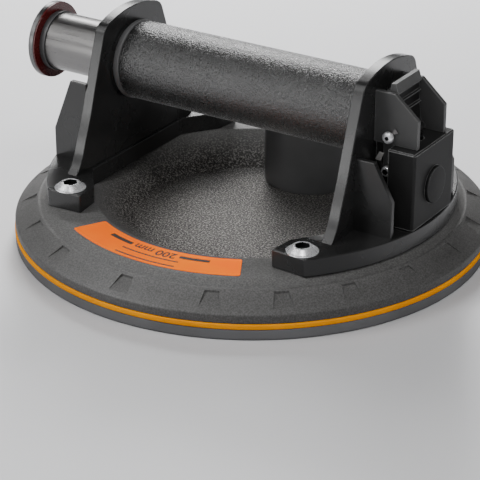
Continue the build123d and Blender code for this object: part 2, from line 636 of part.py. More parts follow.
export_step(lever_guard.part, "parts/lever_guard.step")

# ======================================================================
# Release lever, its pin and the valve stem below it
# ======================================================================

with BuildPart() as release_lever:
    half = GUARD_HALF - GUARD_WALL - GAP
    # hub round the pin and arm with a rounded nose over the stem
    bar_y(PIN_X, PIN_Z, -half, half, HUB_R)
    with BuildSketch(Plane.XZ.offset(-LEVER_ARM_HALF)):
        with BuildLine():
            Polyline(
                (PIN_X, PIN_Z + HUB_R), (STEM_X, STEM_TOP + 3.6), (STEM_X, STEM_TOP + GAP + 0.1),
                (PIN_X + 2.2, PIN_Z - 0.3), (PIN_X, PIN_Z + HUB_R),
            )
        make_face()
        with Locations((STEM_X, STEM_TOP + GAP + LEVER_NOSE_R)):
            Circle(LEVER_NOSE_R)
    extrude(amount=2 * LEVER_ARM_HALF)
    # upright blade with two ridges and a thumb tab across the top
    with BuildSketch(Plane.XZ.offset(-half)):
        with BuildLine():
            Polyline(*LEVER_BLADE, LEVER_BLADE[0])
        make_face()
    extrude(amount=2 * half)
    bar_y(PIN_X, PIN_Z, -half, half, PIN_R + RUN, mode=Mode.SUBTRACT)
release_lever.part.label = "release_lever"
export_step(release_lever.part, "parts/release_lever.step")

with BuildPart() as lever_pin:
    bar_y(PIN_X, PIN_Z, -GUARD_HALF - TAB_T, GUARD_HALF + TAB_T, PIN_R)
    for end in (-1, 1):
        inner_face = end * (GUARD_HALF + TAB_T)
        outer_face = inner_face + end * PIN_HEAD_H
        bar_y(PIN_X, PIN_Z, min(inner_face, outer_face), max(inner_face, outer_face), PIN_HEAD_R)
    chamfer(lever_pin.edges().group_by(Axis.Y)[0] + lever_pin.edges().group_by(Axis.Y)[-1], 0.6)
    for end in (-1, 1):
        outer_face = end * (GUARD_HALF + TAB_T + PIN_HEAD_H)
        with BuildSketch(Plane.XZ.offset(-max(outer_face, outer_face - end * PIN_SOCKET))):
            with Locations((PIN_X, PIN_Z)):
                RegularPolygon(PIN_SOCKET_R, 6)
        extrude(amount=PIN_SOCKET, mode=Mode.SUBTRACT)
lever_pin.part.label = "lever_pin"
export_step(lever_pin.part, "parts/lever_pin.step")

with BuildPart() as side_screws:
    for end in (-1, 1):
        shank = (end * SIDE_SHANK_Y[1], end * (GUARD_HALF + TAB_T))
        head = (end * (GUARD_HALF + TAB_T), end * (GUARD_HALF + TAB_T + SIDE_HEAD_H))
        bar_y(SIDE_SCREW_X, SIDE_SCREW_Z, min(shank), max(shank), SIDE_SHANK_R)
        bar_y(SIDE_SCREW_X, SIDE_SCREW_Z, min(head), max(head), SIDE_HEAD_R)
    chamfer(side_screws.edges().group_by(Axis.Y)[0] + side_screws.edges().group_by(Axis.Y)[-1], 0.5)
    for end in (-1, 1):
        outer_face = end * (GUARD_HALF + TAB_T + SIDE_HEAD_H)
        with BuildSketch(Plane.XZ.offset(-max(outer_face, outer_face - end * SIDE_SOCKET))):
            with Locations((SIDE_SCREW_X, SIDE_SCREW_Z)):
                RegularPolygon(SIDE_SOCKET_R, 6)
        extrude(amount=SIDE_SOCKET, mode=Mode.SUBTRACT)
side_screws.part.label = "side_screws"
export_step(side_screws.part, "parts/side_screws.step")

# tab washers under the pin's and side screws' heads, each with one flat ear
with BuildPart() as tab_washers:
    for end in (-1, 1):
        face = max(end * GUARD_HALF, end * (GUARD_HALF + TAB_T))
        with BuildSketch(Plane.XZ.offset(-face)):
            with Locations(Location((PIN_X, PIN_Z, 0), (0, 0, 46))):
                Circle(TAB_R)
                with Locations((TAB_REACH / 2, 0)):
                    Rectangle(TAB_REACH, TAB_W)
                Circle(PIN_R, mode=Mode.SUBTRACT)
        extrude(amount=TAB_T)
        with BuildSketch(Plane.XZ.offset(-face)):
            with BuildLine():
                Polyline(*SIDE_TAB, SIDE_TAB[0])
            make_face()
            with Locations((SIDE_SCREW_X, SIDE_SCREW_Z)):
                Circle(2.25)
                Circle(1.4, mode=Mode.SUBTRACT)
        extrude(amount=TAB_T)
tab_washers.part.label = "tab_washers"
export_step(tab_washers.part, "parts/tab_washers.step")

with BuildPart() as valve_stem:
    disc_z(STEM_X, 0, STEM_TOP - STEM_CAP_H, STEM_TOP, STEM_CAP_R)
    fillet(valve_stem.edges().group_by(Axis.Z)[-1], 0.6)
    disc_z(STEM_X, 0, STEM_LOW, STEM_TOP - STEM_CAP_H, STEM_R)
    disc_z(STEM_X, 0, STEM_LOW, STEM_FLANGE_TOP, STEM_FLANGE_R)
valve_stem.part.label = "valve_stem"
export_step(valve_stem.part, "parts/valve_stem.step")

with BuildPart() as stem_seal:
    disc_z(STEM_X, 0, STEM_FLANGE_TOP, CHAMBER_TOP - 0.35, STEM_SEAL_R, STEM_R)
stem_seal.part.label = "stem_seal"
export_step(stem_seal.part, "parts/stem_seal.step")

with BuildPart() as stem_spring:
    first = CUP_FLOOR + STEM_WIRE_R
    last = STEM_TOP - STEM_CAP_H - STEM_WIRE_R
    with BuildLine() as coil:
        Helix((last - first) / STEM_TURNS, last - first, STEM_SPRING_R, center=(STEM_X, 0, first))
    with BuildSketch(Plane(origin=coil.line @ 0, z_dir=coil.line % 0)):
        Circle(STEM_WIRE_R)
    sweep(is_frenet=True)
stem_spring.part.label = "stem_spring"
export_step(stem_spring.part, "parts/stem_spring.step")

# ======================================================================
# Push button
# ======================================================================

with BuildPart() as push_button:
    tube_x(BUTTON_SKIRT, BUTTON_FACE, BUTTON_R, z=BUTTON_Z)
    fillet(push_button.edges().group_by(Axis.X)[-1], 0.7)
    tube_x(BUTTON_SKIRT, BUTTON_FACE - BUTTON_FACE_T, BUTTON_HOLLOW_R, z=BUTTON_Z, mode=Mode.SUBTRACT)
    tube_x(BUTTON_PIN, BUTTON_FACE - BUTTON_FACE_T, BUTTON_PIN_R, z=BUTTON_Z)
push_button.part.label = "push_button"
export_step(push_button.part, "parts/push_button.step")

with BuildPart() as button_spring:
    first = BUTTON_SEAT + BUTTON_WIRE_R
    last = BUTTON_FACE - BUTTON_FACE_T - BUTTON_WIRE_R
    with BuildLine() as coil:
        Helix((last - first) / BUTTON_TURNS, last - first, BUTTON_SPRING_R, center=(first, 0, BUTTON_Z),
              direction=(1, 0, 0))
    with BuildSketch(Plane(origin=coil.line @ 0, z_dir=coil.line % 0)):
        Circle(BUTTON_WIRE_R)
    sweep(is_frenet=True)
button_spring.part.label = "button_spring"
export_step(button_spring.part, "parts/button_spring.step")

# ======================================================================
# Vacuum gauge standing in the dish behind the handle
# ======================================================================

with BuildPart() as gauge_fitting:
    disc_z(0, GAUGE_Y, CAVITY_TOP + GAP, DISH_Z, PORT_PAD_R, FITTING_R)
    disc_z(0, GAUGE_Y, DISH_Z, FITTING_TOP, GAUGE_BORE_R, FITTING_R)
gauge_fitting.part.label = "gauge_fitting"
export_step(gauge_fitting.part, "parts/gauge_fitting.step")

with BuildPart() as gauge_case:
    disc_z(0, GAUGE_Y, DISH_Z, GAUGE_CASE_TOP, GAUGE_R)
    disc_z(0, GAUGE_Y, DISH_Z + GAUGE_WALL, GAUGE_CASE_TOP, GAUGE_R - GAUGE_WALL, mode=Mode.SUBTRACT)
    disc_z(0, GAUGE_Y, DISH_Z, DISH_Z + GAUGE_WALL, GAUGE_BORE_R, mode=Mode.SUBTRACT)
gauge_case.part.label = "gauge_case"
export_step(gauge_case.part, "parts/gauge_case.step")

with BuildPart() as gauge_movement:
    disc_z(0, GAUGE_Y, FITTING_TOP, DIAL_Z - DIAL_RIM, MOVEMENT_R)
    disc_z(0, GAUGE_Y, FITTING_TOP, DIAL_Z - DIAL_RIM, SPINDLE_R + RUN, mode=Mode.SUBTRACT)
gauge_movement.part.label = "gauge_movement"
export_step(gauge_movement.part, "parts/gauge_movement.step")

with BuildPart() as gauge_dial:
    disc_z(0, GAUGE_Y, DIAL_Z - DIAL_RIM, DIAL_Z, GAUGE_R - GAUGE_WALL, DIAL_RIM_R)
    disc_z(0, GAUGE_Y, DIAL_Z - DIAL_T, DIAL_Z, DIAL_RIM_R)
    disc_z(0, GAUGE_Y, DIAL_Z - DIAL_RIM, DIAL_Z, DIAL_HUB_R)
    disc_z(0, GAUGE_Y, DIAL_Z - DIAL_RIM, DIAL_Z, SPINDLE_R + RUN, mode=Mode.SUBTRACT)
gauge_dial.part.label = "gauge_dial"
export_step(gauge_dial.part, "parts/gauge_dial.step")

with BuildPart() as gauge_needle:
    disc_z(0, GAUGE_Y, DIAL_Z - SPINDLE_L, DIAL_Z + 1.6, SPINDLE_R)
    disc_z(0, GAUGE_Y, DIAL_Z + 0.5, DIAL_Z + 1.5, 2.2)
    with BuildSketch(Plane.XY.offset(DIAL_Z + 0.7)):
        with Locations(Location((0, GAUGE_Y, 0), (0, 0, NEEDLE_REST))):
            Polygon(*NEEDLE_BLADE, align=None)
    extrude(amount=0.5)
gauge_needle.part.label = "gauge_needle"
export_step(gauge_needle.part, "parts/gauge_needle.step")

with BuildPart() as gauge_lens:
    disc_z(0, GAUGE_Y, *LENS_Z, GAUGE_R - GAUGE_WALL)
gauge_lens.part.label = "gauge_lens"
export_step(gauge_lens.part, "parts/gauge_lens.step")

with BuildPart() as gauge_bezel:
    disc_z(0, GAUGE_Y, GAUGE_CASE_TOP, LENS_Z[1], GAUGE_R, GAUGE_R - GAUGE_WALL)
    disc_z(0, GAUGE_Y, LENS_Z[1], GAUGE_TOP, GAUGE_R, GAUGE_R - GAUGE_LIP)
    chamfer(gauge_bezel.edges().group_by(Axis.Z)[-1], 0.6)
gauge_bezel.part.label = "gauge_bezel"
export_step(gauge_bezel.part, "parts/gauge_bezel.step")
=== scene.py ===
import math

import bmesh
import bpy
from mathutils import Matrix, Vector


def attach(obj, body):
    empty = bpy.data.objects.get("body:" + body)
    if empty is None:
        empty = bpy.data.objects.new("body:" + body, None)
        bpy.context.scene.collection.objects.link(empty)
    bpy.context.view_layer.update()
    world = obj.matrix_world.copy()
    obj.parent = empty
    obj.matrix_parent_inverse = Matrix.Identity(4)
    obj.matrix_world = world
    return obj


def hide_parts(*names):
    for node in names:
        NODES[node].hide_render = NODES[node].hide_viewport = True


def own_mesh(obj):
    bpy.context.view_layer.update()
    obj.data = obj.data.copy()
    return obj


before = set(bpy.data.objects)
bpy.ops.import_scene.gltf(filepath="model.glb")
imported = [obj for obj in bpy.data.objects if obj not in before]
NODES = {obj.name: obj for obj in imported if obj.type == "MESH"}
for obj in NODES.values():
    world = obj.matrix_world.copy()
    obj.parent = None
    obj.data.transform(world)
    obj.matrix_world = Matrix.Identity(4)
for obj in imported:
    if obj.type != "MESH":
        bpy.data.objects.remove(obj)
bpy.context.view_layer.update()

# Vacuum suction lifter. Everything is in metres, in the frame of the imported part: the pad's
# centre on the floor is the origin, +X runs along the handle to the valve block, +Z is up.
MM = 0.001

# Driving dimensions, in millimetres
RING_TOP = 18.9            # top of the disc's raised ring, which the label and the feet lie on
FOOT_TOP = 26.7            # top of the bracket's feet
PAD_TOP = 4.6              # where the pad meets the ring and the disc
BAND_IN = 95.0             # inner radius of the orange ring
BAND_TOP = 7.0             # top of it
DISH_FLOOR = 6.6           # floor of the disc's dish
PLATE_IN = 59.2            # the upright plates' faces, along X
PLATE_OUT = 64.0
HANDLE_Z = 65.75           # height of the handle's axis
HANDLE_BORE = 15.0         # radius inside the grip
TUBE_RADIUS = 12.4         # outside of the plunger tube
TUBE_BORE = 11.4           # inside of it
KNOB_FACE = -101.0         # inner face of the knob, along X
WASHER_FACE = -100.3       # inner face of the washer on it
PIN_X, PIN_Z = 70.9, 62.8              # axis of the lever's pin
SCREW_X, SCREW_Z = 70.6, 48.4          # axis of the guard's screws
GUARD_SIDE = 12.5          # half the width over the guard and its tab washers
BUTTON_Z = 41.6            # height of the button's axis
AXIS = Vector((0.0, 0.0, HANDLE_Z * MM))           # a point on the handle's axis
GAUGE = Vector((0.0, 48.5 * MM, 0.0))              # the gauge's axis on the floor

CREASE = math.radians(35)              # faces that meet at a smaller angle are shaded as one
BEVEL_ABOVE = math.radians(30)         # edges sharper than this get a bevel
FLAT_WITHIN = math.radians(1.0)        # CAD triangles this flat are joined before a bevel
MOST_OF_EDGE = 0.45                    # share of an edge that a rounded corner may take
TINY = 1e-6                            # millimetres that count as nothing
WELD_DISTANCE = 1e-7                   # metres
CAD_WELD_DISTANCE = 2e-6

# ---------------- Camera and light ----------------

scene = bpy.context.scene

CAMERA_PLACE = (0.4278, -0.6783, 0.3789)
CAMERA_TARGET = (0.04632, -0.08202, 0.040)
FOCAL_LENGTH = 156.6
SENSOR_WIDTH = 36.0

# The lights all look at the object's middle. Each row is name, place, width, height and power.
MIDDLE = (0.0, 0.0, 0.03)
SIDE = (-0.70, -0.73, 1.00)
SHADING_ONLY = (("key_behind", (-0.595, 0.930, 0.50), 0.28, 0.24, 38.0),
                ("side_fill", SIDE, 0.75, 0.50, 12.0),
                ("right_fill", (0.95, -0.08, 0.95), 0.7, 0.5, 8.0),
                ("front_fill", (0.55, -1.20, 0.40), 0.5, 0.5, 4.0))
REFLECTED_ONLY = (("side_softbox", SIDE, 0.75, 0.36, 24.0),
                  ("strip_softbox", (-0.68, -1.22, 0.13), 0.5, 0.5, 4.5))
SHADING_AND_REFLECTED = (("back_softbox", (-0.70, 0.93, 0.83), 0.60, 0.55, 14.0),
                         ("front_soft", (-0.75, -1.25, 0.45), 1.5, 0.9, 3.0),
                         ("screw_light", (0.30, -0.47, 1.16), 0.40, 0.40, 5.0))
STUDIO_STRENGTH = 0.15


def aim(obj, place, target):
    """Puts a camera or light at a place, looking at a target."""
    obj.location = place
    obj.rotation_euler = (Vector(target) - Vector(place)).to_track_quat("-Z", "Y").to_euler()


def add_camera():
    """The camera at the photograph's viewing angle."""
    data = bpy.data.cameras.new("camera")
    data.lens = FOCAL_LENGTH
    data.sensor_width = SENSOR_WIDTH
    data.clip_start = 0.01
    data.clip_end = 20.0
    camera = bpy.data.objects.new("camera", data)
    scene.collection.objects.link(camera)
    aim(camera, CAMERA_PLACE, CAMERA_TARGET)
    scene.camera = camera


def add_area_light(name, place, width, height, power):
    """A white rectangle of light, looking at the object's middle."""
    data = bpy.data.lights.new(name, "AREA")
    data.shape = "RECTANGLE"
    data.size = width
    data.size_y = height
    data.energy = power
    light = bpy.data.objects.new(name, data)
    scene.collection.objects.link(light)
    aim(light, place, MIDDLE)
    return light


def add_lights():
    for row in SHADING_ONLY:
        add_area_light(*row).visible_glossy = False
    for row in REFLECTED_ONLY:
        add_area_light(*row).visible_diffuse = False
    for row in SHADING_AND_REFLECTED:
        add_area_light(*row)


def add_world():
    """A dim studio: pale round the horizon, dark overhead."""
    world = bpy.data.worlds.new("studio")
    world.use_nodes = True
    tree = world.node_tree
    direction = tree.nodes.new("ShaderNodeTexCoord")
    height = tree.nodes.new("ShaderNodeSeparateXYZ")
    tree.links.new(direction.outputs["Generated"], height.inputs["Vector"])
    sky = tree.nodes.new("ShaderNodeValToRGB")
    sky.color_ramp.elements[0].position = 0.02
    sky.color_ramp.elements[0].color = (0.80, 0.81, 0.83, 1.0)
    sky.color_ramp.elements[1].position = 0.75
    sky.color_ramp.elements[1].color = (0.05, 0.05, 0.055, 1.0)
    tree.links.new(height.outputs["Z"], sky.inputs["Fac"])
    background = tree.nodes["Background"]
    tree.links.new(sky.outputs["Color"], background.inputs["Color"])
    background.inputs["Strength"].default_value = STUDIO_STRENGTH
    scene.world = world


add_camera()
add_world()
add_lights()

# ---------------- Materials ----------------


def new_material(name):
    material = bpy.data.materials.new(name)
    material.use_nodes = True
    return material, material.node_tree, material.node_tree.nodes["Principled BSDF"]


def surface(tree, shader, colour, rough, normal):
    """Leads colour, roughness and normal into the shader."""
    for value, name in ((colour, "Base Color"), (rough, "Roughness"), (normal, "Normal")):
        tree.links.new(value, shader.inputs[name])


def object_coordinates(tree, stretch=(1.0, 1.0, 1.0)):
    """Object coordinates in metres, scaled along each axis."""
    coordinates = tree.nodes.new("ShaderNodeTexCoord")
    mapping = tree.nodes.new("ShaderNodeMapping")
    mapping.inputs["Scale"].default_value = stretch
    tree.links.new(coordinates.outputs["Object"], mapping.inputs["Vector"])
    return mapping.outputs["Vector"]


def noise(tree, vector, scale, detail, roughness=0.55):
    node = tree.nodes.new("ShaderNodeTexNoise")
    node.inputs["Scale"].default_value = scale
    node.inputs["Detail"].default_value = detail
    node.inputs["Roughness"].default_value = roughness
    tree.links.new(vector, node.inputs["Vector"])
    return node.outputs["Fac"]


def ramp(tree, value, stops):
    """A colour ramp: stops are (position, colour)."""
    node = tree.nodes.new("ShaderNodeValToRGB")
    while len(node.color_ramp.elements) < len(stops):
        node.color_ramp.elements.new(0.5)
    for element, (position, colour) in zip(node.color_ramp.elements, stops):
        element.position = position
        element.color = (*colour, 1.0)
    tree.links.new(value, node.inputs["Fac"])
    return node.outputs["Color"]


def remap(tree, value, low, high, from_low=0.3, from_high=0.7):
    node = tree.nodes.new("ShaderNodeMapRange")
    node.inputs["From Min"].default_value = from_low
    node.inputs["From Max"].default_value = from_high
    node.inputs["To Min"].default_value = low
    node.inputs["To Max"].default_value = high
    tree.links.new(value, node.inputs["Value"])
    return node.outputs["Result"]


def bump(tree, height, strength, distance, normal=None):
    node = tree.nodes.new("ShaderNodeBump")
    node.inputs["Strength"].default_value = strength
    node.inputs["Distance"].default_value = distance
    tree.links.new(height, node.inputs["Height"])
    if normal is not None:
        tree.links.new(normal, node.inputs["Normal"])
    return node.outputs["Normal"]


EDGE_RADIUS = 0.0006                   # how far from an edge its painted highlight reaches
EDGE_LEAN, EDGE_FLAT = 0.90, 0.995     # cosines of the leans at which the painted highlight is full and gone


def edge_mask(tree):
    """1 on edges and corners, 0 on open faces: how far a bevelled normal leans from the true one."""
    bevel = tree.nodes.new("ShaderNodeBevel")
    bevel.samples = 4
    bevel.inputs["Radius"].default_value = EDGE_RADIUS
    geometry = tree.nodes.new("ShaderNodeNewGeometry")
    dot = tree.nodes.new("ShaderNodeVectorMath")
    dot.operation = "DOT_PRODUCT"
    tree.links.new(bevel.outputs["Normal"], dot.inputs[0])
    tree.links.new(geometry.outputs["Normal"], dot.inputs[1])
    return remap(tree, dot.outputs["Value"], low=1.0, high=0.0, from_low=EDGE_LEAN, from_high=EDGE_FLAT)


# a Mix node's sockets when it mixes colours
MIX_FIRST, MIX_SECOND, MIX_RESULT = 6, 7, 2


def blend(tree, mask, first, second):
    """first where the mask is 0, second where it is 1: second is a plain colour or comes from a node."""
    node = tree.nodes.new("ShaderNodeMix")
    node.data_type = "RGBA"
    tree.links.new(mask, node.inputs["Factor"])
    tree.links.new(first, node.inputs[MIX_FIRST])
    if isinstance(second, tuple):
        node.inputs[MIX_SECOND].default_value = (*second, 1.0)
    else:
        tree.links.new(second, node.inputs[MIX_SECOND])
    return node.outputs[MIX_RESULT]


def grey(value):
    return (value, value, value)


def powder_coat():
    """Matt powder coat: fine even grain on the ring, painted shade darkening it round the skirt, coarse in
    the dish.
    """
    material, tree, shader = new_material("powder_coat")
    vector = object_coordinates(tree)
    flat = tree.nodes.new("ShaderNodeMapping")
    flat.inputs["Scale"].default_value = (1.0, 1.0, 0.0)
    tree.links.new(vector, flat.inputs["Vector"])
    reach = tree.nodes.new("ShaderNodeVectorMath")
    reach.operation = "LENGTH"
    tree.links.new(flat.outputs["Vector"], reach.inputs[0])
    dish = remap(tree, reach.outputs["Value"], low=1.0, high=0.0, from_low=0.054, from_high=0.066)
    fine = noise(tree, vector, scale=1500.0, detail=2.0, roughness=0.6)
    coarse = noise(tree, vector, scale=1350.0, detail=3.0, roughness=0.7)
    patches = noise(tree, vector, scale=60.0, detail=3.0)
    even = ramp(tree, fine, [(0.34, (0.050, 0.049, 0.048)), (0.50, (0.074, 0.073, 0.072)),
                             (0.66, (0.106, 0.104, 0.102))])
    strong = ramp(tree, coarse, [(0.43, (0.012, 0.011, 0.010)), (0.51, (0.042, 0.038, 0.036)),
                                 (0.60, (0.25, 0.24, 0.225))])
    # painted shade: the coat is drawn darker from 85 to 94 mm out, over the skirt
    rim = remap(tree, reach.outputs["Value"], low=0.0, high=1.0, from_low=0.0850, from_high=0.0940)
    painted_lighting = ramp(tree, fine, [(0.34, (0.030, 0.029, 0.028)), (0.50, (0.046, 0.045, 0.044)),
                             (0.66, (0.066, 0.065, 0.064))])
    coat = blend(tree, rim, even, painted_lighting)
    colour = blend(tree, dish, coat, strong)
    rough = remap(tree, patches, low=0.50, high=0.62)
    shader.inputs["Specular IOR Level"].default_value = 0.45
    first = bump(tree, fine, strength=0.35, distance=0.0003)
    relief = tree.nodes.new("ShaderNodeMath")
    relief.operation = "MULTIPLY"
    tree.links.new(coarse, relief.inputs[0])
    tree.links.new(dish, relief.inputs[1])
    surface(tree, shader, colour, rough,
            bump(tree, relief.outputs["Value"], strength=0.9, distance=0.0010, normal=first))
    return material


def grip_leather():
    """Near-black grip with a fine leather grain that catches the light in short ridges."""
    material, tree, shader = new_material("grip_leather")
    vector = object_coordinates(tree)
    grain = noise(tree, vector, scale=1350.0, detail=2.0, roughness=0.55)
    cells = tree.nodes.new("ShaderNodeTexVoronoi")
    cells.feature = "DISTANCE_TO_EDGE"
    cells.inputs["Scale"].default_value = 1300.0
    tree.links.new(vector, cells.inputs["Vector"])
    creases = remap(tree, cells.outputs["Distance"], low=0.0, high=1.0, from_low=0.0, from_high=0.35)
    colour = ramp(tree, grain, [(0.35, grey(0.003)), (0.65, grey(0.012))])
    rough = remap(tree, grain, low=0.29, high=0.22)
    shader.inputs["Specular IOR Level"].default_value = 0.9
    shader.inputs["Sheen Weight"].default_value = 0.30
    shader.inputs["Sheen Roughness"].default_value = 0.30
    first = bump(tree, creases, strength=0.3, distance=0.00012)
    surface(tree, shader, colour, rough, bump(tree, grain, strength=1.0, distance=0.00036, normal=first))
    return material


def satin_paint(name, colour, edge, rough, shine=0.5):
    """Satin paint on metal: slight orange peel, and a painted highlight that makes the edges paler."""
    material, tree, shader = new_material(name)
    vector = object_coordinates(tree)
    peel = noise(tree, vector, scale=420.0, detail=2.0)
    haze = noise(tree, vector, scale=45.0, detail=3.0)
    lighter = tuple(c * 1.35 for c in colour)
    base = ramp(tree, haze, [(0.35, colour), (0.65, lighter)])
    shader.inputs["Specular IOR Level"].default_value = shine
    surface(tree, shader, blend(tree, edge_mask(tree), base, edge),
            remap(tree, haze, low=rough - 0.04, high=rough + 0.06),
            bump(tree, peel, strength=0.12, distance=0.0002))
    return material


def soft_rubber(name, dark, light, rough, shine=0.4):
    """Matt rubber: a fine grain, and broad faint clouds between two colours."""
    material, tree, shader = new_material(name)
    vector = object_coordinates(tree)
    grain = noise(tree, vector, scale=900.0, detail=3.0)
    cloud = noise(tree, vector, scale=35.0, detail=3.0)
    shader.inputs["Specular IOR Level"].default_value = shine
    surface(tree, shader, ramp(tree, cloud, [(0.3, dark), (0.7, light)]),
            remap(tree, grain, low=rough - 0.05, high=rough + 0.08),
            bump(tree, grain, strength=0.25, distance=0.0002))
    return material


STREAK_DEPTH = 0.10                    # how much darker than the metal its streaks are
EVEN = (1.0, 1.0, 1.0)                 # leaves the streaks a grain without direction


def brushed_metal(name, colour, rough, stretch=EVEN):
    """Satin metal: fine streaks, which the stretch of the coordinates lays along one axis."""
    material, tree, shader = new_material(name)
    vector = object_coordinates(tree, stretch)
    streaks = noise(tree, vector, scale=1600.0, detail=4.0, roughness=0.7)
    darker = tuple(c * (1.0 - STREAK_DEPTH) for c in colour)
    shader.inputs["Metallic"].default_value = 1.0
    surface(tree, shader, ramp(tree, streaks, [(0.3, darker), (0.7, colour)]),
            remap(tree, streaks, low=rough - 0.05, high=rough + 0.07),
            bump(tree, streaks, strength=0.05, distance=0.0001))
    return material


def polished_chrome():
    """Bright plating with faint smudges."""
    material, tree, shader = new_material("polished_chrome")
    vector = object_coordinates(tree)
    smudge = noise(tree, vector, scale=300.0, detail=3.0)
    tree.links.new(ramp(tree, smudge, [(0.3, (0.80, 0.81, 0.83)), (0.7, (0.93, 0.93, 0.94))]),
                   shader.inputs["Base Color"])
    tree.links.new(remap(tree, smudge, low=0.24, high=0.32), shader.inputs["Roughness"])
    shader.inputs["Metallic"].default_value = 0.72
    return material


def moulded_plastic(name, colour, rough, shine=0.5):
    """An even moulded or printed surface: faint clouds and a very fine texture."""
    material, tree, shader = new_material(name)
    vector = object_coordinates(tree)
    texture = noise(tree, vector, scale=1500.0, detail=2.0)
    cloud = noise(tree, vector, scale=50.0, detail=2.0)
    lighter = tuple(min(1.0, c * 1.25) for c in colour)
    shader.inputs["Specular IOR Level"].default_value = shine
    surface(tree, shader, ramp(tree, cloud, [(0.35, colour), (0.65, lighter)]),
            remap(tree, texture, low=rough - 0.04, high=rough + 0.05),
            bump(tree, texture, strength=0.06, distance=0.0001))
    return material


def clear_glass():
    """The gauge's window."""
    material, tree, shader = new_material("clear_lens")
    vector = object_coordinates(tree)
    smudge = noise(tree, vector, scale=120.0, detail=2.0)
    tree.links.new(remap(tree, smudge, low=0.02, high=0.06), shader.inputs["Roughness"])
    shader.inputs["Base Color"].default_value = (0.96, 0.98, 0.98, 1.0)
    shader.inputs["Transmission Weight"].default_value = 1.0
    shader.inputs["IOR"].default_value = 1.46
    return material


def lever_paint():
    """Near-black satin paint, with a painted highlight that makes the thumb tab paler grey, and painted
    highlights along the ridges.
    """
    material, tree, shader = new_material("lever_paint")
    vector = object_coordinates(tree)
    height = tree.nodes.new("ShaderNodeSeparateXYZ")
    tree.links.new(vector, height.inputs["Vector"])
    # painted highlight: the thumb tab, above about 80 mm, is drawn paler where its top catches the light
    tab = remap(tree, height.outputs["Z"], low=0.0, high=1.0, from_low=0.0788, from_high=0.0800)
    haze = noise(tree, vector, scale=90.0, detail=3.0)
    dark = ramp(tree, haze, [(0.35, grey(0.006)), (0.65, grey(0.010))])
    pale = ramp(tree, haze, [(0.35, grey(0.048)), (0.65, grey(0.064))])
    # the pale grey on the edges is a painted highlight along the ridges and corners
    painted_lighting = blend(tree, edge_mask(tree), blend(tree, tab, dark, pale), grey(0.12))
    rough = remap(tree, haze, low=0.42, high=0.50)
    shader.inputs["Specular IOR Level"].default_value = 0.25
    peel = noise(tree, vector, scale=700.0, detail=2.0)
    surface(tree, shader, painted_lighting, rough, bump(tree, peel, strength=0.1, distance=0.0002))
    return material


def floor_paint():
    """The stage's plain pale floor."""
    material, tree, shader = new_material("pale_floor")
    shader.inputs["Base Color"].default_value = (0.46, 0.46, 0.47, 1.0)
    shader.inputs["Roughness"].default_value = 0.55
    return material


POWDER = powder_coat()
GRIP = grip_leather()
# each satin paint's edge colour is a painted highlight along its edges
CASTING = satin_paint("casting_paint", grey(0.010), edge=grey(0.028), rough=0.26)
BLOCK = satin_paint("block_paint", grey(0.011), edge=grey(0.20), rough=0.42, shine=0.08)
GUARD = satin_paint("guard_paint", grey(0.034), edge=grey(0.12), rough=0.38, shine=0.3)
LEVER = lever_paint()
BUTTON = satin_paint("button_paint", grey(0.006), edge=grey(0.11), rough=0.42, shine=0.08)
PAD = soft_rubber("pad_rubber", (0.084, 0.084, 0.087), (0.110, 0.110, 0.114), rough=0.75, shine=0.05)
ORANGE = soft_rubber("orange_rubber", (0.62, 0.21, 0.0), (0.70, 0.26, 0.0), rough=0.8, shine=0.0)
BUMPER = soft_rubber("bumper_rubber", (0.030, 0.030, 0.031), (0.045, 0.045, 0.046), rough=0.5)
SEAL = soft_rubber("seal_rubber", grey(0.010), grey(0.02), rough=0.55)
TUBE = brushed_metal("tube_steel", (0.17, 0.167, 0.165), rough=0.30, stretch=(0.04, 1.0, 1.0))
KNOB = brushed_metal("knob_steel", grey(0.13), rough=0.30)
COLLAR = moulded_plastic("collar_metal", (0.085, 0.085, 0.086), rough=0.38)
STEEL = brushed_metal("plain_steel", (0.45, 0.45, 0.46), rough=0.35)
# near-black steel for the screws' sockets and the valve stem: painted shade where they sit in shadow
PAINTED_SHADE_STEEL = brushed_metal("steel_painted_shade", (0.05, 0.05, 0.052), rough=0.40)
BRASS = brushed_metal("turned_brass", (0.72, 0.55, 0.25), rough=0.32)
ALUMINIUM = brushed_metal("honed_aluminium", (0.66, 0.67, 0.68), rough=0.30, stretch=(0.05, 1.0, 1.0))
CHROME = polished_chrome()
# a paler copy of the tab steel for the bent flags: a painted highlight
TAB_PAINTED_HIGHLIGHT = moulded_plastic("tab_steel_painted_highlight", (0.24, 0.235, 0.23), rough=0.45)
TAB = brushed_metal("tab_steel", (0.20, 0.19, 0.19), rough=0.45)
WASHER = moulded_plastic("washer_red", (0.050, 0.004, 0.004), rough=0.28)
GAUGE_BLACK = moulded_plastic("gauge_black", (0.052, 0.052, 0.053), rough=0.34)
ACETAL = moulded_plastic("acetal", (0.02, 0.02, 0.022), rough=0.4)
DIAL = moulded_plastic("dial_white", (0.72, 0.72, 0.70), rough=0.5)
PRINT = moulded_plastic("print_dark", (0.03, 0.028, 0.026), rough=0.6)
NEEDLE = moulded_plastic("needle_red", (0.35, 0.010, 0.008), rough=0.4)
LABEL = moulded_plastic("label_orange", (1.0, 0.150, 0.0), rough=0.7, shine=0.02)
LENS = clear_glass()

# ---------------- Mesh helpers ----------------


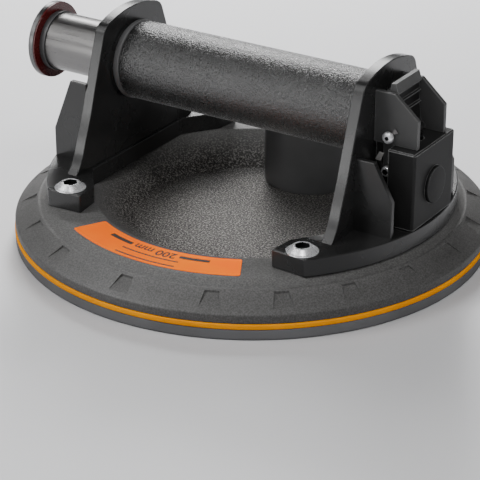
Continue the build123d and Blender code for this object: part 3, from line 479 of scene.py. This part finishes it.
def mesh_object(name, vertices, faces, material):
    """A welded mesh with its faces turned outwards, smooth where it has no crease."""
    mesh = bpy.data.meshes.new(name)
    mesh.from_pydata([tuple(v) for v in vertices], [], faces)
    mesh.update()
    builder = bmesh.new()
    builder.from_mesh(mesh)
    bmesh.ops.remove_doubles(builder, verts=builder.verts, dist=WELD_DISTANCE)
    bmesh.ops.recalc_face_normals(builder, faces=builder.faces)
    builder.to_mesh(mesh)
    builder.free()
    mesh.shade_smooth()
    mesh.set_sharp_from_angle(angle=CREASE)
    mesh.materials.append(material)
    piece = bpy.data.objects.new(name, mesh)
    scene.collection.objects.link(piece)
    return piece


def quarter_bend(before, here, after, steps):
    """Points of the curve that rounds a corner at here, from before to after."""
    return [tuple((1 - t) ** 2 * before + 2 * t * (1 - t) * here + t * t * after)
            for t in (step / steps for step in range(steps + 1))]


def round_corners(points, radius, steps=5, closed=True):
    """Rounds the outline's corners, except on the axis; radius is how far each curve reaches."""
    result = []
    count = len(points)
    for i, point in enumerate(points):
        here = Vector(point)
        if not closed and i in (0, count - 1):
            result.append(tuple(here))
            continue
        before = Vector(points[i - 1]) - here
        after = Vector(points[(i + 1) % count]) - here
        reach = min(radius, before.length * MOST_OF_EDGE, after.length * MOST_OF_EDGE)
        if here.x < TINY or reach < TINY:
            result.append(tuple(here))
            continue
        start = here + before.normalized() * reach
        end = here + after.normalized() * reach
        result += quarter_bend(start, here, end, steps)
    return result


def plain_ring(inner, outer, low, high):
    """Outline of a plain turned ring, or of a plain disc where inner is 0."""
    return [(inner, low), (outer, low), (outer, high), (inner, high)]


def lathe(name, outline, material, segments, along="z", centre=(0, 0, 0)):
    """Turns a closed outline of (radius, height) in millimetres about Z or X through centre."""
    vertices = []
    faces = []
    count = len(outline)
    for k in range(segments):
        turn = 2 * math.pi * k / segments
        for radius, height in outline:
            if along == "z":
                local = (radius * math.cos(turn), radius * math.sin(turn), height)
            else:
                local = (height, radius * math.cos(turn), radius * math.sin(turn))
            vertices.append(Vector(local) * MM + Vector(centre))
    for k in range(segments):
        for i in range(count):
            a = k * count + i
            b = k * count + (i + 1) % count
            c = ((k + 1) % segments) * count + (i + 1) % count
            d = ((k + 1) % segments) * count + i
            faces.append((a, b, c, d))
    return mesh_object(name, vertices, faces, material)


def prism_faces(count, start=0):
    """The faces of a prism whose vertices are one outline of count points and then the other."""
    near = [start + i for i in range(count)]
    far = [start + count + i for i in range(count)]
    faces = [tuple(reversed(near)), tuple(far)]
    for i in range(count):
        j = (i + 1) % count
        faces.append((near[i], near[j], far[j], far[i]))
    return faces


def prism(name, outline, low, high, material, placing=Matrix.Identity(4)):
    """A flat closed outline of (x, y) in millimetres, raised from low to high, then placed."""
    vertices = [placing @ (Vector((x, y, z)) * MM) for z in (low, high) for x, y in outline]
    return mesh_object(name, vertices, prism_faces(len(outline)), material)


def add_bevel(piece, width, segments=3):
    """Rounds the piece's edges over a width in millimetres."""
    modifier = piece.modifiers.new("bevel", "BEVEL")
    modifier.width = width * MM
    modifier.segments = segments
    modifier.limit_method = "ANGLE"
    modifier.angle_limit = BEVEL_ABOVE
    modifier.harden_normals = True


def cut(piece, cutter):
    """Takes the cutter's shape out of the piece, and drops the cutter."""
    modifier = piece.modifiers.new("cut", "BOOLEAN")
    modifier.operation = "DIFFERENCE"
    modifier.solver = "EXACT"
    modifier.object = cutter
    modifier.material_mode = "TRANSFER"
    bake_modifiers(piece)
    bpy.data.objects.remove(cutter)


def bake_modifiers(piece):
    """Makes the result of the piece's modifiers its own mesh."""
    bpy.context.view_layer.update()
    evaluated = piece.evaluated_get(bpy.context.evaluated_depsgraph_get())
    mesh = bpy.data.meshes.new_from_object(evaluated)
    piece.modifiers.clear()
    piece.data = mesh
    mesh.set_sharp_from_angle(angle=CREASE)


def stands_for(piece, body, slot_name, *nodes):
    """Puts a piece on its body, in place of the CAD nodes named; slot_name is not used."""
    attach(piece, body)
    if nodes:
        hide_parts(*nodes)
    return piece


def dress(node, material, bevel=0.0):
    """Gives a CAD node its finish, and where asked a small rounding on its edges."""
    piece = NODES[node]
    for material_slot in piece.material_slots:
        material_slot.material = material
    if bevel:
        weld = piece.modifiers.new("weld", "WELD")
        weld.merge_threshold = CAD_WELD_DISTANCE
        flat = piece.modifiers.new("flat", "DECIMATE")
        flat.decimate_type = "DISSOLVE"
        flat.angle_limit = FLAT_WITHIN
        add_bevel(piece, bevel, 2)


# ---------------- Pad, ring and base plate ----------------


PAD_UNDER = 2.2            # underside of the pad between its ribs and its lip
RIB_UNDER = 1.0
RIB_RADII = (30.0, 58.0, 82.0)
RIB_HALF = 1.2
DISC_SEGMENTS = 288


def add_pad():
    """The rubber pad: three low ribs underneath, and the lip that touches the floor."""
    outline = [(0.0, PAD_UNDER)]
    for radius in RIB_RADII:
        inner, outer = radius - RIB_HALF, radius + RIB_HALF
        outline += [(inner, PAD_UNDER), (inner, RIB_UNDER), (outer, RIB_UNDER), (outer, PAD_UNDER)]
    outline += [(93.0, PAD_UNDER), (95.4, 0.0), (99.4, 0.0), (99.8, 0.8), (99.8, PAD_TOP), (0.0, PAD_TOP)]
    piece = lathe("pad_lip", round_corners(outline, 0.6, 4), PAD, DISC_SEGMENTS)
    stands_for(piece, "lifter", "pad_rubber", "rubber_pad")


def add_orange_ring():
    outline = round_corners(plain_ring(BAND_IN, 100.0, PAD_TOP, BAND_TOP), 0.8, 6)
    piece = lathe("orange_band", outline, ORANGE, DISC_SEGMENTS)
    stands_for(piece, "lifter", "ring_rubber", "orange_ring")


FIRST_NOTCH, NOTCH_STEP = 22.5, 16.875         # degrees from the one in front, to each side
NOTCH_ANGLES = [0.0, 180.0] + [side * (FIRST_NOTCH + NOTCH_STEP * k) for k in range(9) for side in (-1, 1)]
# radius, height and half width at each corner of a notch's profile
NOTCH_CORNERS = ((90.7, 15.4, 2.8), (97.2, 12.2, 4.2), (97.2, 19.5, 4.2), (90.7, 19.5, 2.8))
SPOT_RADIUS = 20.7         # the flat that the gauge stands on


def notch_cutter():
    """All the notches of the skirt in one mesh: they widen outwards, and the floor runs out at the rim."""
    vertices = []
    faces = []
    for angle in NOTCH_ANGLES:
        turn = Matrix.Rotation(math.radians(angle - 90.0), 4, "Z")
        faces += prism_faces(len(NOTCH_CORNERS), len(vertices))
        for side in (-1, 1):
            for radius, z, half in NOTCH_CORNERS:
                vertices.append(turn @ (Vector((radius, side * half, z)) * MM))
    return mesh_object("notch_cutter", vertices, faces, POWDER)


def add_base_plate():
    """The disc: rim, sloping skirt with its notches, raised ring and dish."""
    outline = [(0.0, PAD_TOP), (BAND_IN, PAD_TOP), (BAND_IN, BAND_TOP), (99.7, BAND_TOP), (99.7, 10.7),
               (90.0, 16.9), (89.0, 16.9), (84.0, RING_TOP), (66.2, RING_TOP), (50.3, DISH_FLOOR),
               (0.0, DISH_FLOOR)]
    piece = lathe("cast_disc", round_corners(outline, 0.7, 4), POWDER, DISC_SEGMENTS)
    cut(piece, notch_cutter())
    spot = plain_ring(0.0, SPOT_RADIUS, DISH_FLOOR, RING_TOP + 6.1)        # to well above the disc
    cut(piece, lathe("spot_cutter", spot, POWDER, 96, centre=GAUGE))
    stands_for(piece, "lifter", "disc_coat", "base_plate")


add_pad()
add_orange_ring()
add_base_plate()

# ---------------- Label ----------------

LABEL_MIDDLE, LABEL_HALF = -90.0, 29.0         # degrees round the disc
LABEL_FILM = 0.2                       # thickness of the label
PRINT_UNDER, PRINT_TOP = 0.19, 0.24    # the print, over the ring
BEND_STEPS = 4                         # straight pieces in a rounded corner
FONT_DEPTH = 0.03


def arc_outline(inner, outer, first, last, corner=1.2, steps=48):
    """Outline of a ring sector with rounded corners, angles in degrees, lengths in millimetres."""
    points = []
    for k in range(steps + 1):
        turn = math.radians(first + (last - first) * k / steps)
        points.append((outer * math.cos(turn), outer * math.sin(turn)))
    for k in range(steps + 1):
        turn = math.radians(last + (first - last) * k / steps)
        points.append((inner * math.cos(turn), inner * math.sin(turn)))
    corners = (0, steps, steps + 1, 2 * steps + 1)
    result = []
    for i, point in enumerate(points):
        if i not in corners:
            result.append(point)
            continue
        here = Vector(point)
        before = (Vector(points[i - 1]) - here).normalized() * corner
        after = (Vector(points[(i + 1) % len(points)]) - here).normalized() * corner
        result += quarter_bend(here + before, here, here + after, BEND_STEPS)
    return result


def text_mesh(name, body, size, material, weight=0.0):
    """Flat text in millimetres, as a mesh centred on the origin; weight thickens its strokes."""
    curve = bpy.data.curves.new(name, "FONT")
    curve.body = body
    curve.size = size
    curve.align_x = "CENTER"
    curve.align_y = "CENTER"
    curve.extrude = FONT_DEPTH
    curve.offset = weight
    text = bpy.data.objects.new(name, curve)
    scene.collection.objects.link(text)
    bpy.context.view_layer.update()
    mesh = bpy.data.meshes.new_from_object(text.evaluated_get(bpy.context.evaluated_depsgraph_get()))
    bpy.data.objects.remove(text)
    mesh.materials.clear()
    mesh.materials.append(material)
    piece = bpy.data.objects.new(name, mesh)
    scene.collection.objects.link(piece)
    return piece


def bend_round(piece, radius, angle, height):
    """Lays a flat drawing (x, y, z in millimetres) round the disc: x runs clockwise, y towards the rim."""
    for vertex in piece.data.vertices:
        x, y, z = vertex.co
        turn = math.radians(angle) - x / radius
        reach = radius + y
        vertex.co = Vector((reach * math.cos(turn), reach * math.sin(turn), height + z)) * MM
    piece.data.update()


def add_label_mark(name, inner, outer, middle, half_angle, corner):
    """A plain printed arc on the label, angles in degrees."""
    outline = arc_outline(inner, outer, middle - half_angle, middle + half_angle, corner, 24)
    mark = prism(name, outline, RING_TOP + PRINT_UNDER, RING_TOP + PRINT_TOP, PRINT)
    stands_for(mark, "lifter", "label")


def add_label():
    film = arc_outline(68.0, 82.4, LABEL_MIDDLE - LABEL_HALF, LABEL_MIDDLE + LABEL_HALF)
    piece = prism("label_film", film, RING_TOP, RING_TOP + LABEL_FILM, LABEL)
    add_bevel(piece, 0.06, 2)
    stands_for(piece, "lifter", "label", "info_label")
    # generic print, read from the handle's side: the pad's size, two plain bars and two plain arcs
    figures = text_mesh("label_print", "200 mm", 6.0, PRINT, 0.10)
    bend_round(figures, 72.1, LABEL_MIDDLE, RING_TOP + LABEL_FILM + 0.01)
    stands_for(figures, "lifter", "label")
    for name, middle in (("label_bar_left", -104.0), ("label_bar_right", -76.0)):
        add_label_mark(name, 71.0, 73.0, middle, 5.0, 0.4)
    for name, inner, outer in (("label_box_inner", 76.0, 76.8), ("label_box_outer", 80.1, 80.9)):
        add_label_mark(name, inner, outer, LABEL_MIDDLE, 10.0, 0.2)


add_label()

# ---------------- Brackets and screws ----------------

FOOT_RADIUS = 86.0                     # the feet's outer edge follows the disc
FOOT_TIP = (61.8, 60.0)
FOOT_STEPS = 40
FOOT_SCREWS = ((-54.6, -54.0), (-54.6, 54.0), (57.0, -54.0), (57.0, 54.0))
CROWN_STEPS = 16
PLATE_TOP = 89.2                       # the arch's highest point
GUSSET_WALL = 2.4
GUSSET_OUT = 80.7                      # where the gussets end, along X


def hex_cutter(name, radius, low, high):
    """A hexagonal prism, radius is from its axis to a corner, in millimetres."""
    outline = [(radius * math.cos(math.pi * k / 3), radius * math.sin(math.pi * k / 3)) for k in range(6)]
    # its faces pass to the socket's walls as painted shade
    return prism(name, outline, low, high, PAINTED_SHADE_STEEL)


def place_mesh(piece, matrix):
    piece.data.transform(matrix)
    piece.data.update()


def socket_screw(name, outline, socket, low, high, matrix, segments=64):
    """A turned screw with a hexagonal socket from low to high, made at the origin and then placed."""
    piece = lathe(name, round_corners(outline, 0.25, 4), CHROME, segments)
    cut(piece, hex_cutter(name + "_cutter", socket, low, high))
    place_mesh(piece, matrix)
    return piece


def add_foot_screws():
    outline = [(0.0, -14.0), (2.95, -14.0), (2.95, 0.0), (6.5, 0.0), (6.5, 0.4), (6.0, 0.6), (3.9, 2.4),
               (0.0, 2.4)]
    for k, (x, y) in enumerate(FOOT_SCREWS):
        # each socket stands at its own angle
        place = Matrix.Translation(Vector((x, y, FOOT_TOP)) * MM) @ Matrix.Rotation(0.3 + 0.4 * k, 4, "Z")
        piece = socket_screw(f"foot_screw_{k + 1}", outline, 3.2, 0.4, 8.0, place)
        stands_for(piece, "lifter", "screw_chrome", "foot_screws")


ON_XZ = Matrix.Rotation(math.radians(90), 4, "X")      # drawing (x, z), raised towards -Y
# drawing (y, z), raised along +X
ON_YZ = Matrix(((0, 0, 1, 0), (1, 0, 0, 0), (0, 1, 0, 0), (0, 0, 0, 1)))


def smooth_line(points, steps=10):
    """A flowing curve through every point."""
    ends = [2 * Vector(points[0]) - Vector(points[1]), 2 * Vector(points[-1]) - Vector(points[-2])]
    knots = [ends[0]] + [Vector(p) for p in points] + [ends[1]]
    result = []
    for a, b, c, d in zip(knots, knots[1:], knots[2:], knots[3:]):
        for step in range(steps):
            t = step / steps
            result.append(tuple(0.5 * (2 * b + (c - a) * t + (2 * a - 5 * b + 4 * c - d) * t * t
                                       + (3 * b - a - 3 * c + d) * t * t * t)))
    result.append(tuple(points[-1]))
    return result


def foot_outline(side):
    """Half the foot on the +Y side, mirrored to the other: straight edges, then the disc's own curve."""
    edges = [(58.0, 0.0), (58.0, 33.5), (47.4, 47.5), (45.9, 59.0), FOOT_TIP, (70.0, 50.5)]
    inner = round_corners(edges, 0.9, 4, closed=False)[:-1]
    corner = math.degrees(math.atan2(FOOT_TIP[1], FOOT_TIP[0])) - 0.8
    curve = []
    for k in range(FOOT_STEPS + 1):
        turn = math.radians(corner * (1 - k / FOOT_STEPS))
        curve.append((FOOT_RADIUS * math.cos(turn), FOOT_RADIUS * math.sin(turn)))
    half = inner[1:] + curve
    other = [(x, -y) for x, y in reversed(half[:-1])]
    return [(side * x, y) for x, y in half + other]


def plate_outline():
    """The arched plate seen along the handle: flared foot, waisted sides and a low arch on top."""
    flare = smooth_line([(43.7, FOOT_TOP), (40.8, 30.0), (38.6, 34.0), (36.3, 40.0), (32.3, 50.0),
                         (28.35, 62.0), (22.85, 78.0)])
    shoulder = round_corners([flare[-1], (20.2, 85.4), (0.0, 90.4)], 5.0, 8, closed=False)[1:-1]
    half_width, springing = shoulder[-1]
    crown = []
    for k in range(1, CROWN_STEPS + 1):
        off = 1 - k / CROWN_STEPS
        crown.append((half_width * off, PLATE_TOP - (PLATE_TOP - springing) * off ** 2))
    half = [(43.7, FOOT_TOP - 0.7)] + flare + shoulder + crown         # sunk a little into the foot
    other = [(-y, z) for y, z in reversed(half[:-1])]
    return half + other


def add_bracket(prefix, side, gusset_y, gusset_top, gusset_x, slope_z):
    """One end casting: its foot, upright plate and two gussets, which slope from gusset_x to slope_z."""
    foot = prism(prefix + "_foot", foot_outline(side), RING_TOP, FOOT_TOP, CASTING)
    add_bevel(foot, 0.6, 4)
    stands_for(foot, "lifter", "casting_black", prefix + "_bracket")
    low, high = sorted((side * PLATE_IN, side * PLATE_OUT))
    plate = prism(prefix + "_plate", plate_outline(), low, high, CASTING, ON_YZ)
    # the bore goes through the left plate, and is a shallow seat in the right one
    start, end = side * PLATE_IN - side, -PLATE_OUT - 1.0 if side < 0 else PLATE_IN + 1.3
    bore = plain_ring(0.0, HANDLE_BORE, start, end)
    cut(plate, lathe(prefix + "_bore", bore, CASTING, 128, "x", AXIS))
    add_bevel(plate, 0.35, 3)
    stands_for(plate, "lifter", "casting_black")
    root, sunk = side * (PLATE_OUT - 0.5), FOOT_TOP - 1.0
    outline = [(root, sunk), (side * GUSSET_OUT, sunk), (side * GUSSET_OUT, slope_z),
               (side * gusset_x, gusset_top), (root, gusset_top)]
    inside = gusset_y - GUSSET_WALL
    for label, low, high in (("front", inside, gusset_y), ("back", -gusset_y, -inside)):
        gusset = prism(f"{prefix}_gusset_{label}", outline, low, high, CASTING, ON_XZ)
        add_bevel(gusset, 0.45, 3)
        stands_for(gusset, "lifter", "casting_black")


add_foot_screws()
add_bracket("left", -1, gusset_y=29.5, gusset_top=62.1, gusset_x=71.7, slope_z=39.2)
add_bracket("right", 1, gusset_y=26.5, gusset_top=57.1, gusset_x=72.3, slope_z=41.9)

# ---------------- Handle and pump ----------------


def turned(name, points, material, body, slot_name, *nodes, radius=0.5, segments=160):
    """A turned piece on the handle's axis: points are (radius, x) in millimetres."""
    piece = lathe(name, round_corners(points, radius, 5), material, segments, "x", AXIS)
    return stands_for(piece, body, slot_name, *nodes)


turned("grip_skin", plain_ring(HANDLE_BORE, 16.6, -56.0, PLATE_IN), GRIP,
       "lifter", "grip_rubber", "grip_sleeve", radius=0.9)
turned("grip_ferrule", [(HANDLE_BORE, -PLATE_IN), (16.0, -PLATE_IN), (16.0, -58.1), (16.9, -58.1),
                        (16.9, -56.05), (HANDLE_BORE, -56.05)], COLLAR,
       "lifter", "collar_metal", "grip_collar", radius=0.35)
turned("chrome_tube", plain_ring(TUBE_BORE, TUBE_RADIUS, KNOB_FACE, 8.0), TUBE,
       "plunger", "plunger_steel", "plunger_tube", radius=0.2)
turned("knob_disc", [(0.0, -104.5), (13.4, -104.5), (14.0, -103.7), (16.2, -103.7), (16.6, -103.3),
                     (16.6, -101.2), (16.4, KNOB_FACE), (TUBE_BORE, KNOB_FACE), (TUBE_BORE, -92.3),
                     (0.0, -92.3)], KNOB,
       "plunger", "knob_steel", "plunger_knob", radius=0.35)
turned("red_washer", plain_ring(TUBE_RADIUS, 16.5, KNOB_FACE, WASHER_FACE), WASHER,
       "plunger", "washer_red", "knob_washer", radius=0.15)
turned("stop_bumper", plain_ring(TUBE_RADIUS, 12.95, WASHER_FACE, -97.6), BUMPER,
       "plunger", "seal_rubber", "knob_bumper", radius=0.2)

# the inner pieces keep their CAD meshes
dress("pump_barrel", ALUMINIUM, 0.2)
dress("end_plug", ALUMINIUM, 0.3)
for node in ("wiper_seal", "plug_seal", "piston_seal", "port_seals", "stem_seal", "block_gasket"):
    dress(node, SEAL)
for node in ("guide_bush", "port_filter", "chamber_plug", "gauge_fitting", "gauge_movement"):
    dress(node, BRASS)
for node in ("spring_seat", "piston"):
    dress(node, ACETAL)
for node in ("block_screws", "check_ball"):
    dress(node, STEEL)
# the stem is near black: painted shade where it shows between the guard's walls
dress("valve_stem", PAINTED_SHADE_STEEL)

COIL_STEPS = 28            # cuts along one turn
WIRE_SIDES = 10
END_PITCH = 2.02           # pitch of the closed end turns, in radii of the wire


def coil_mesh(name, start, axis, length, radius, wire, turns, closed=1.0):
    """A compression spring of round wire: closed is how many turns lie together at each end."""
    total = turns + 2 * closed
    steps = int(total * COIL_STEPS)
    pitch_ends = wire * END_PITCH
    centre_line = []
    for k in range(steps + 1):
        turn = total * k / steps
        if turn < closed:
            along = turn * pitch_ends
        elif turn > total - closed:
            along = length - (total - turn) * pitch_ends
        else:
            along = closed * pitch_ends + (turn - closed) / turns * (length - 2 * closed * pitch_ends)
        angle = 2 * math.pi * turn
        across = (radius * math.cos(angle), radius * math.sin(angle))
        if axis == "x":
            centre_line.append(Vector((along, across[0], across[1])))
        else:
            centre_line.append(Vector((across[0], across[1], along)))
    vertices = []
    faces = []
    spine = Vector((1, 0, 0)) if axis == "x" else Vector((0, 0, 1))
    for k, point in enumerate(centre_line):
        ahead = centre_line[min(k + 1, steps)] - centre_line[max(k - 1, 0)]
        tangent = ahead.normalized()
        out = (point - spine * point.dot(spine)).normalized()
        side = tangent.cross(out).normalized()
        out = side.cross(tangent).normalized()
        for s in range(WIRE_SIDES):
            angle = 2 * math.pi * s / WIRE_SIDES
            vertices.append((point + out * wire * math.cos(angle) + side * wire * math.sin(angle)) * MM
                            + Vector(start) * MM)
    for k in range(steps):
        here, ahead = k * WIRE_SIDES, (k + 1) * WIRE_SIDES
        for s in range(WIRE_SIDES):
            t = (s + 1) % WIRE_SIDES
            faces.append((here + s, here + t, ahead + t, ahead + s))
    faces.append(tuple(range(WIRE_SIDES)))
    faces.append(tuple(reversed(range(steps * WIRE_SIDES, (steps + 1) * WIRE_SIDES))))
    return mesh_object(name, vertices, faces, STEEL)


def add_springs():
    pump = coil_mesh("return_coil", (-19.35, 0, HANDLE_Z), "x", length=70.7, radius=8.4, wire=0.65, turns=9)
    stands_for(pump, "lifter", "spring_steel", "pump_spring")
    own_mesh(pump)
    stem = coil_mesh("stem_coil", (76.5, 0, 51.3), "z", length=7.0, radius=2.1, wire=0.3, turns=4,
                     closed=0.6)
    stands_for(stem, "lifter", "spring_steel", "stem_spring")
    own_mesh(stem)
    button = coil_mesh("button_coil", (80.5, 0, BUTTON_Z), "x", length=4.4, radius=3.6, wire=0.3, turns=3,
                       closed=0.5)
    stands_for(button, "lifter", "spring_steel", "button_spring")
    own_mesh(button)


add_springs()

# ---------------- Valve block, lever and button ----------------

dress("valve_block", BLOCK, 0.45)
dress("lever_guard", GUARD, 0.3)
dress("release_lever", LEVER, 0.2)


TAB_RADIUS = 2.2
TAB_THICKNESS = 0.5


def tab_eye(x, z, first, last):
    """Points of a tab's round part about (x, z), counted in sixteenths of a half turn."""
    turns = [math.pi * k / 16 for k in range(first, last)]
    return [(x + TAB_RADIUS * math.cos(turn), z + TAB_RADIUS * math.sin(turn)) for turn in turns]


def add_tabs():
    """The tab washers, front and back: under the hinge pin's heads, and under the guard screws' heads."""
    eye = tab_eye(0.0, 0.0, -12, 13)
    swing = math.radians(46)
    pin_tab = [(PIN_X + x * math.cos(swing) - y * math.sin(swing),
                PIN_Z + x * math.sin(swing) + y * math.cos(swing))
               for x, y in eye[:12] + [(4.75, -1.15), (4.75, 1.15)] + eye[13:]]
    side_tab = tab_eye(SCREW_X, SCREW_Z, -14, 12) + [(68.6, 50.2), (67.7, 52.3), (66.3, 51.4)]
    flag = [(67.4, 51.7), (65.1, 52.3), (66.8, 55.7), (68.8, 55.5)]
    for side, end in (("front", -1), ("back", 1)):
        low, high = sorted((-end * (GUARD_SIDE - TAB_THICKNESS), -end * GUARD_SIDE))
        upper = prism(f"pin_tab_{side}", pin_tab, low, high, TAB, ON_XZ)
        lower = prism(f"guard_tab_{side}", side_tab, low, high, TAB, ON_XZ)
        # the bent flag takes the paler copy of the tab steel, a painted highlight
        bent = prism(f"guard_flag_{side}", flag, low, high, TAB_PAINTED_HIGHLIGHT, ON_XZ)
        for piece in (upper, lower, bent):
            add_bevel(piece, 0.10, 2)
            stands_for(piece, "lifter", "tab_steel")
        if end < 0:
            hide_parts("tab_washers")


add_tabs()


def add_side_fasteners():
    """The hinge pin's two heads with its shank, and the guard's two screws."""
    head = [(1.5, GUARD_SIDE), (2.4, GUARD_SIDE), (2.4, 13.8), (1.8, 14.4), (0.0, 14.4)]
    pin = [(radius, -reach) for radius, reach in reversed(head)] + head
    piece = lathe("hinge_pin", round_corners(pin, 0.3, 3), CHROME, 48)
    for low, high in ((-20.0, -13.2), (13.2, 20.0)):
        cut(piece, hex_cutter("pin_cutter", 0.95, low, high))
    place_mesh(piece, Matrix.Translation(Vector((PIN_X, 0, PIN_Z)) * MM) @ ON_XZ)
    stands_for(piece, "lifter", "screw_chrome", "lever_pin")
    screw = [(0.0, 6.0), (1.38, 6.0), (1.38, GUARD_SIDE), (2.2, GUARD_SIDE), (2.2, 13.7), (1.7, 14.3),
             (0.0, 14.3)]
    for name, turn in (("guard_screw_front", 90), ("guard_screw_back", -90)):
        place = Matrix.Translation(Vector((SCREW_X, 0, SCREW_Z)) * MM)
        place = place @ Matrix.Rotation(math.radians(turn), 4, "X")
        piece = socket_screw(name, screw, 1.3, 13.1, 20.0, place, 48)
        stands_for(piece, "lifter", "screw_chrome", "side_screws")


add_side_fasteners()


def add_button():
    """The push button: a cap with a skirt, and a stem that its spring stands round."""
    outline = [(1.45, 80.8), (1.45, 85.2), (5.2, 85.2), (5.2, 82.0), (7.6, 82.0), (7.6, 86.4), (0.0, 86.4),
               (0.0, 80.8)]
    centre = Vector((0, 0, BUTTON_Z * MM))
    piece = lathe("button_cap", round_corners(outline, 0.5, 5), BUTTON, 96, "x", centre)
    stands_for(piece, "button", "button_black", "push_button")


add_button()

# ---------------- Gauge ----------------


CAN_RADIUS = 20.3
LENS_RADIUS = 18.3
CAN_TOP = 38.0
LENS_TOP = 41.0
DIAL_TOP = 36.6
TICK_UNDER, TICK_TOP = 36.61, 36.66
SCALE_START, SCALE_SWEEP = 225.0, 270.0        # degrees, clockwise
TICKS, TICKS_PER_NUMBER = 50, 10


def gauge_ring(name, points, material, slot_name, node, radius=0.5):
    """A turned piece on the gauge's axis: points are (radius, z) in millimetres."""
    piece = lathe(name, round_corners(points, radius, 5), material, 128, "z", GAUGE)
    return stands_for(piece, "lifter", slot_name, node)


gauge_ring("gauge_can", [(3.2, DISH_FLOOR), (CAN_RADIUS, DISH_FLOOR), (CAN_RADIUS, CAN_TOP),
                         (LENS_RADIUS, CAN_TOP), (LENS_RADIUS, 8.6), (3.2, 8.6)],
           GAUGE_BLACK, "gauge_black", "gauge_case")
gauge_ring("gauge_rim", [(LENS_RADIUS, CAN_TOP), (CAN_RADIUS, CAN_TOP), (CAN_RADIUS, 42.5), (19.6, 43.0),
                         (17.4, 43.0), (16.9, 42.5), (16.9, LENS_TOP), (LENS_RADIUS, LENS_TOP)],
           GAUGE_BLACK, "gauge_black", "gauge_bezel", 0.4)
gauge_ring("gauge_window", plain_ring(0.0, LENS_RADIUS, 39.6, LENS_TOP), LENS, "lens", "gauge_lens", 0.15)
gauge_ring("gauge_face", [(0.65, 34.6), (2.4, 34.6), (2.4, 36.0), (15.5, 36.0), (15.5, 34.6),
                          (LENS_RADIUS, 34.6), (LENS_RADIUS, DIAL_TOP), (0.65, DIAL_TOP)],
           DIAL, "dial_white", "gauge_dial", 0.1)


def scale_angle(share):
    """Angle of a point on the gauge's scale, which runs from 0 to 1."""
    return math.radians(SCALE_START - SCALE_SWEEP * share)


def add_dial_marks():
    """Ticks round the dial, and plain numbers at the long ones."""
    vertices = []
    faces = []
    for k in range(TICKS + 1):
        inner, half = (12.9, 0.22) if k % TICKS_PER_NUMBER == 0 else (14.3, 0.1)
        angle = scale_angle(k / TICKS)
        along = Vector((math.cos(angle), math.sin(angle), 0))
        across = Vector((-along.y, along.x, 0))
        faces += prism_faces(4, len(vertices))
        for z in (TICK_UNDER, TICK_TOP):
            for reach, side in ((inner, -1), (16.2, -1), (16.2, 1), (inner, 1)):
                vertices.append((along * reach + across * side * half + Vector((0, 0, z))) * MM + GAUGE)
    ticks = mesh_object("dial_ticks", vertices, faces, PRINT)
    stands_for(ticks, "lifter", "dial_white")
    numbers = TICKS // TICKS_PER_NUMBER
    for k in range(numbers + 1):
        angle = scale_angle(k / numbers)
        number = text_mesh(f"dial_number_{k}", str(20 * k), 2.6, PRINT)
        place = Vector((10.6 * math.cos(angle), 10.6 * math.sin(angle), 36.64)) * MM + GAUGE
        place_mesh(number, Matrix.Translation(place) @ Matrix.Scale(MM, 4))
        stands_for(number, "lifter", "dial_white")


def add_needle():
    """The needle at zero: its spindle with a hub, and a flat pointed vane."""
    spindle = [(0.0, 24.6), (0.6, 24.6), (0.6, 37.1), (2.2, 37.1), (2.2, 38.1), (0.6, 38.2), (0.0, 38.2)]
    hub = lathe("needle_pointer", round_corners(spindle, 0.2, 3), NEEDLE, 48, "z", GAUGE)
    turn = Matrix.Translation(GAUGE) @ Matrix.Rotation(scale_angle(0.0), 4, "Z")
    blade = [(-5.0, -1.0), (0.0, -1.3), (13.0, -0.25), (13.0, 0.25), (0.0, 1.3), (-5.0, 1.0)]
    vane = prism("needle_vane", blade, 37.3, 37.8, NEEDLE, turn)
    add_bevel(vane, 0.12, 2)
    stands_for(hub, "needle", "needle_red", "gauge_needle")
    stands_for(vane, "needle", "needle_red")


add_dial_marks()
add_needle()

# ---------------- Floor ----------------


FLOOR_HALF = 3.0
FLOOR_DROP = 0.00005       # keeps the floor just clear of the pad


def add_floor():
    corners = [(FLOOR_HALF * x, FLOOR_HALF * y, 0) for x, y in ((-1, -1), (1, -1), (1, 1), (-1, 1))]
    floor = mesh_object("floor", corners, [(0, 1, 2, 3)], floor_paint())
    floor.location.z = -FLOOR_DROP


add_floor()
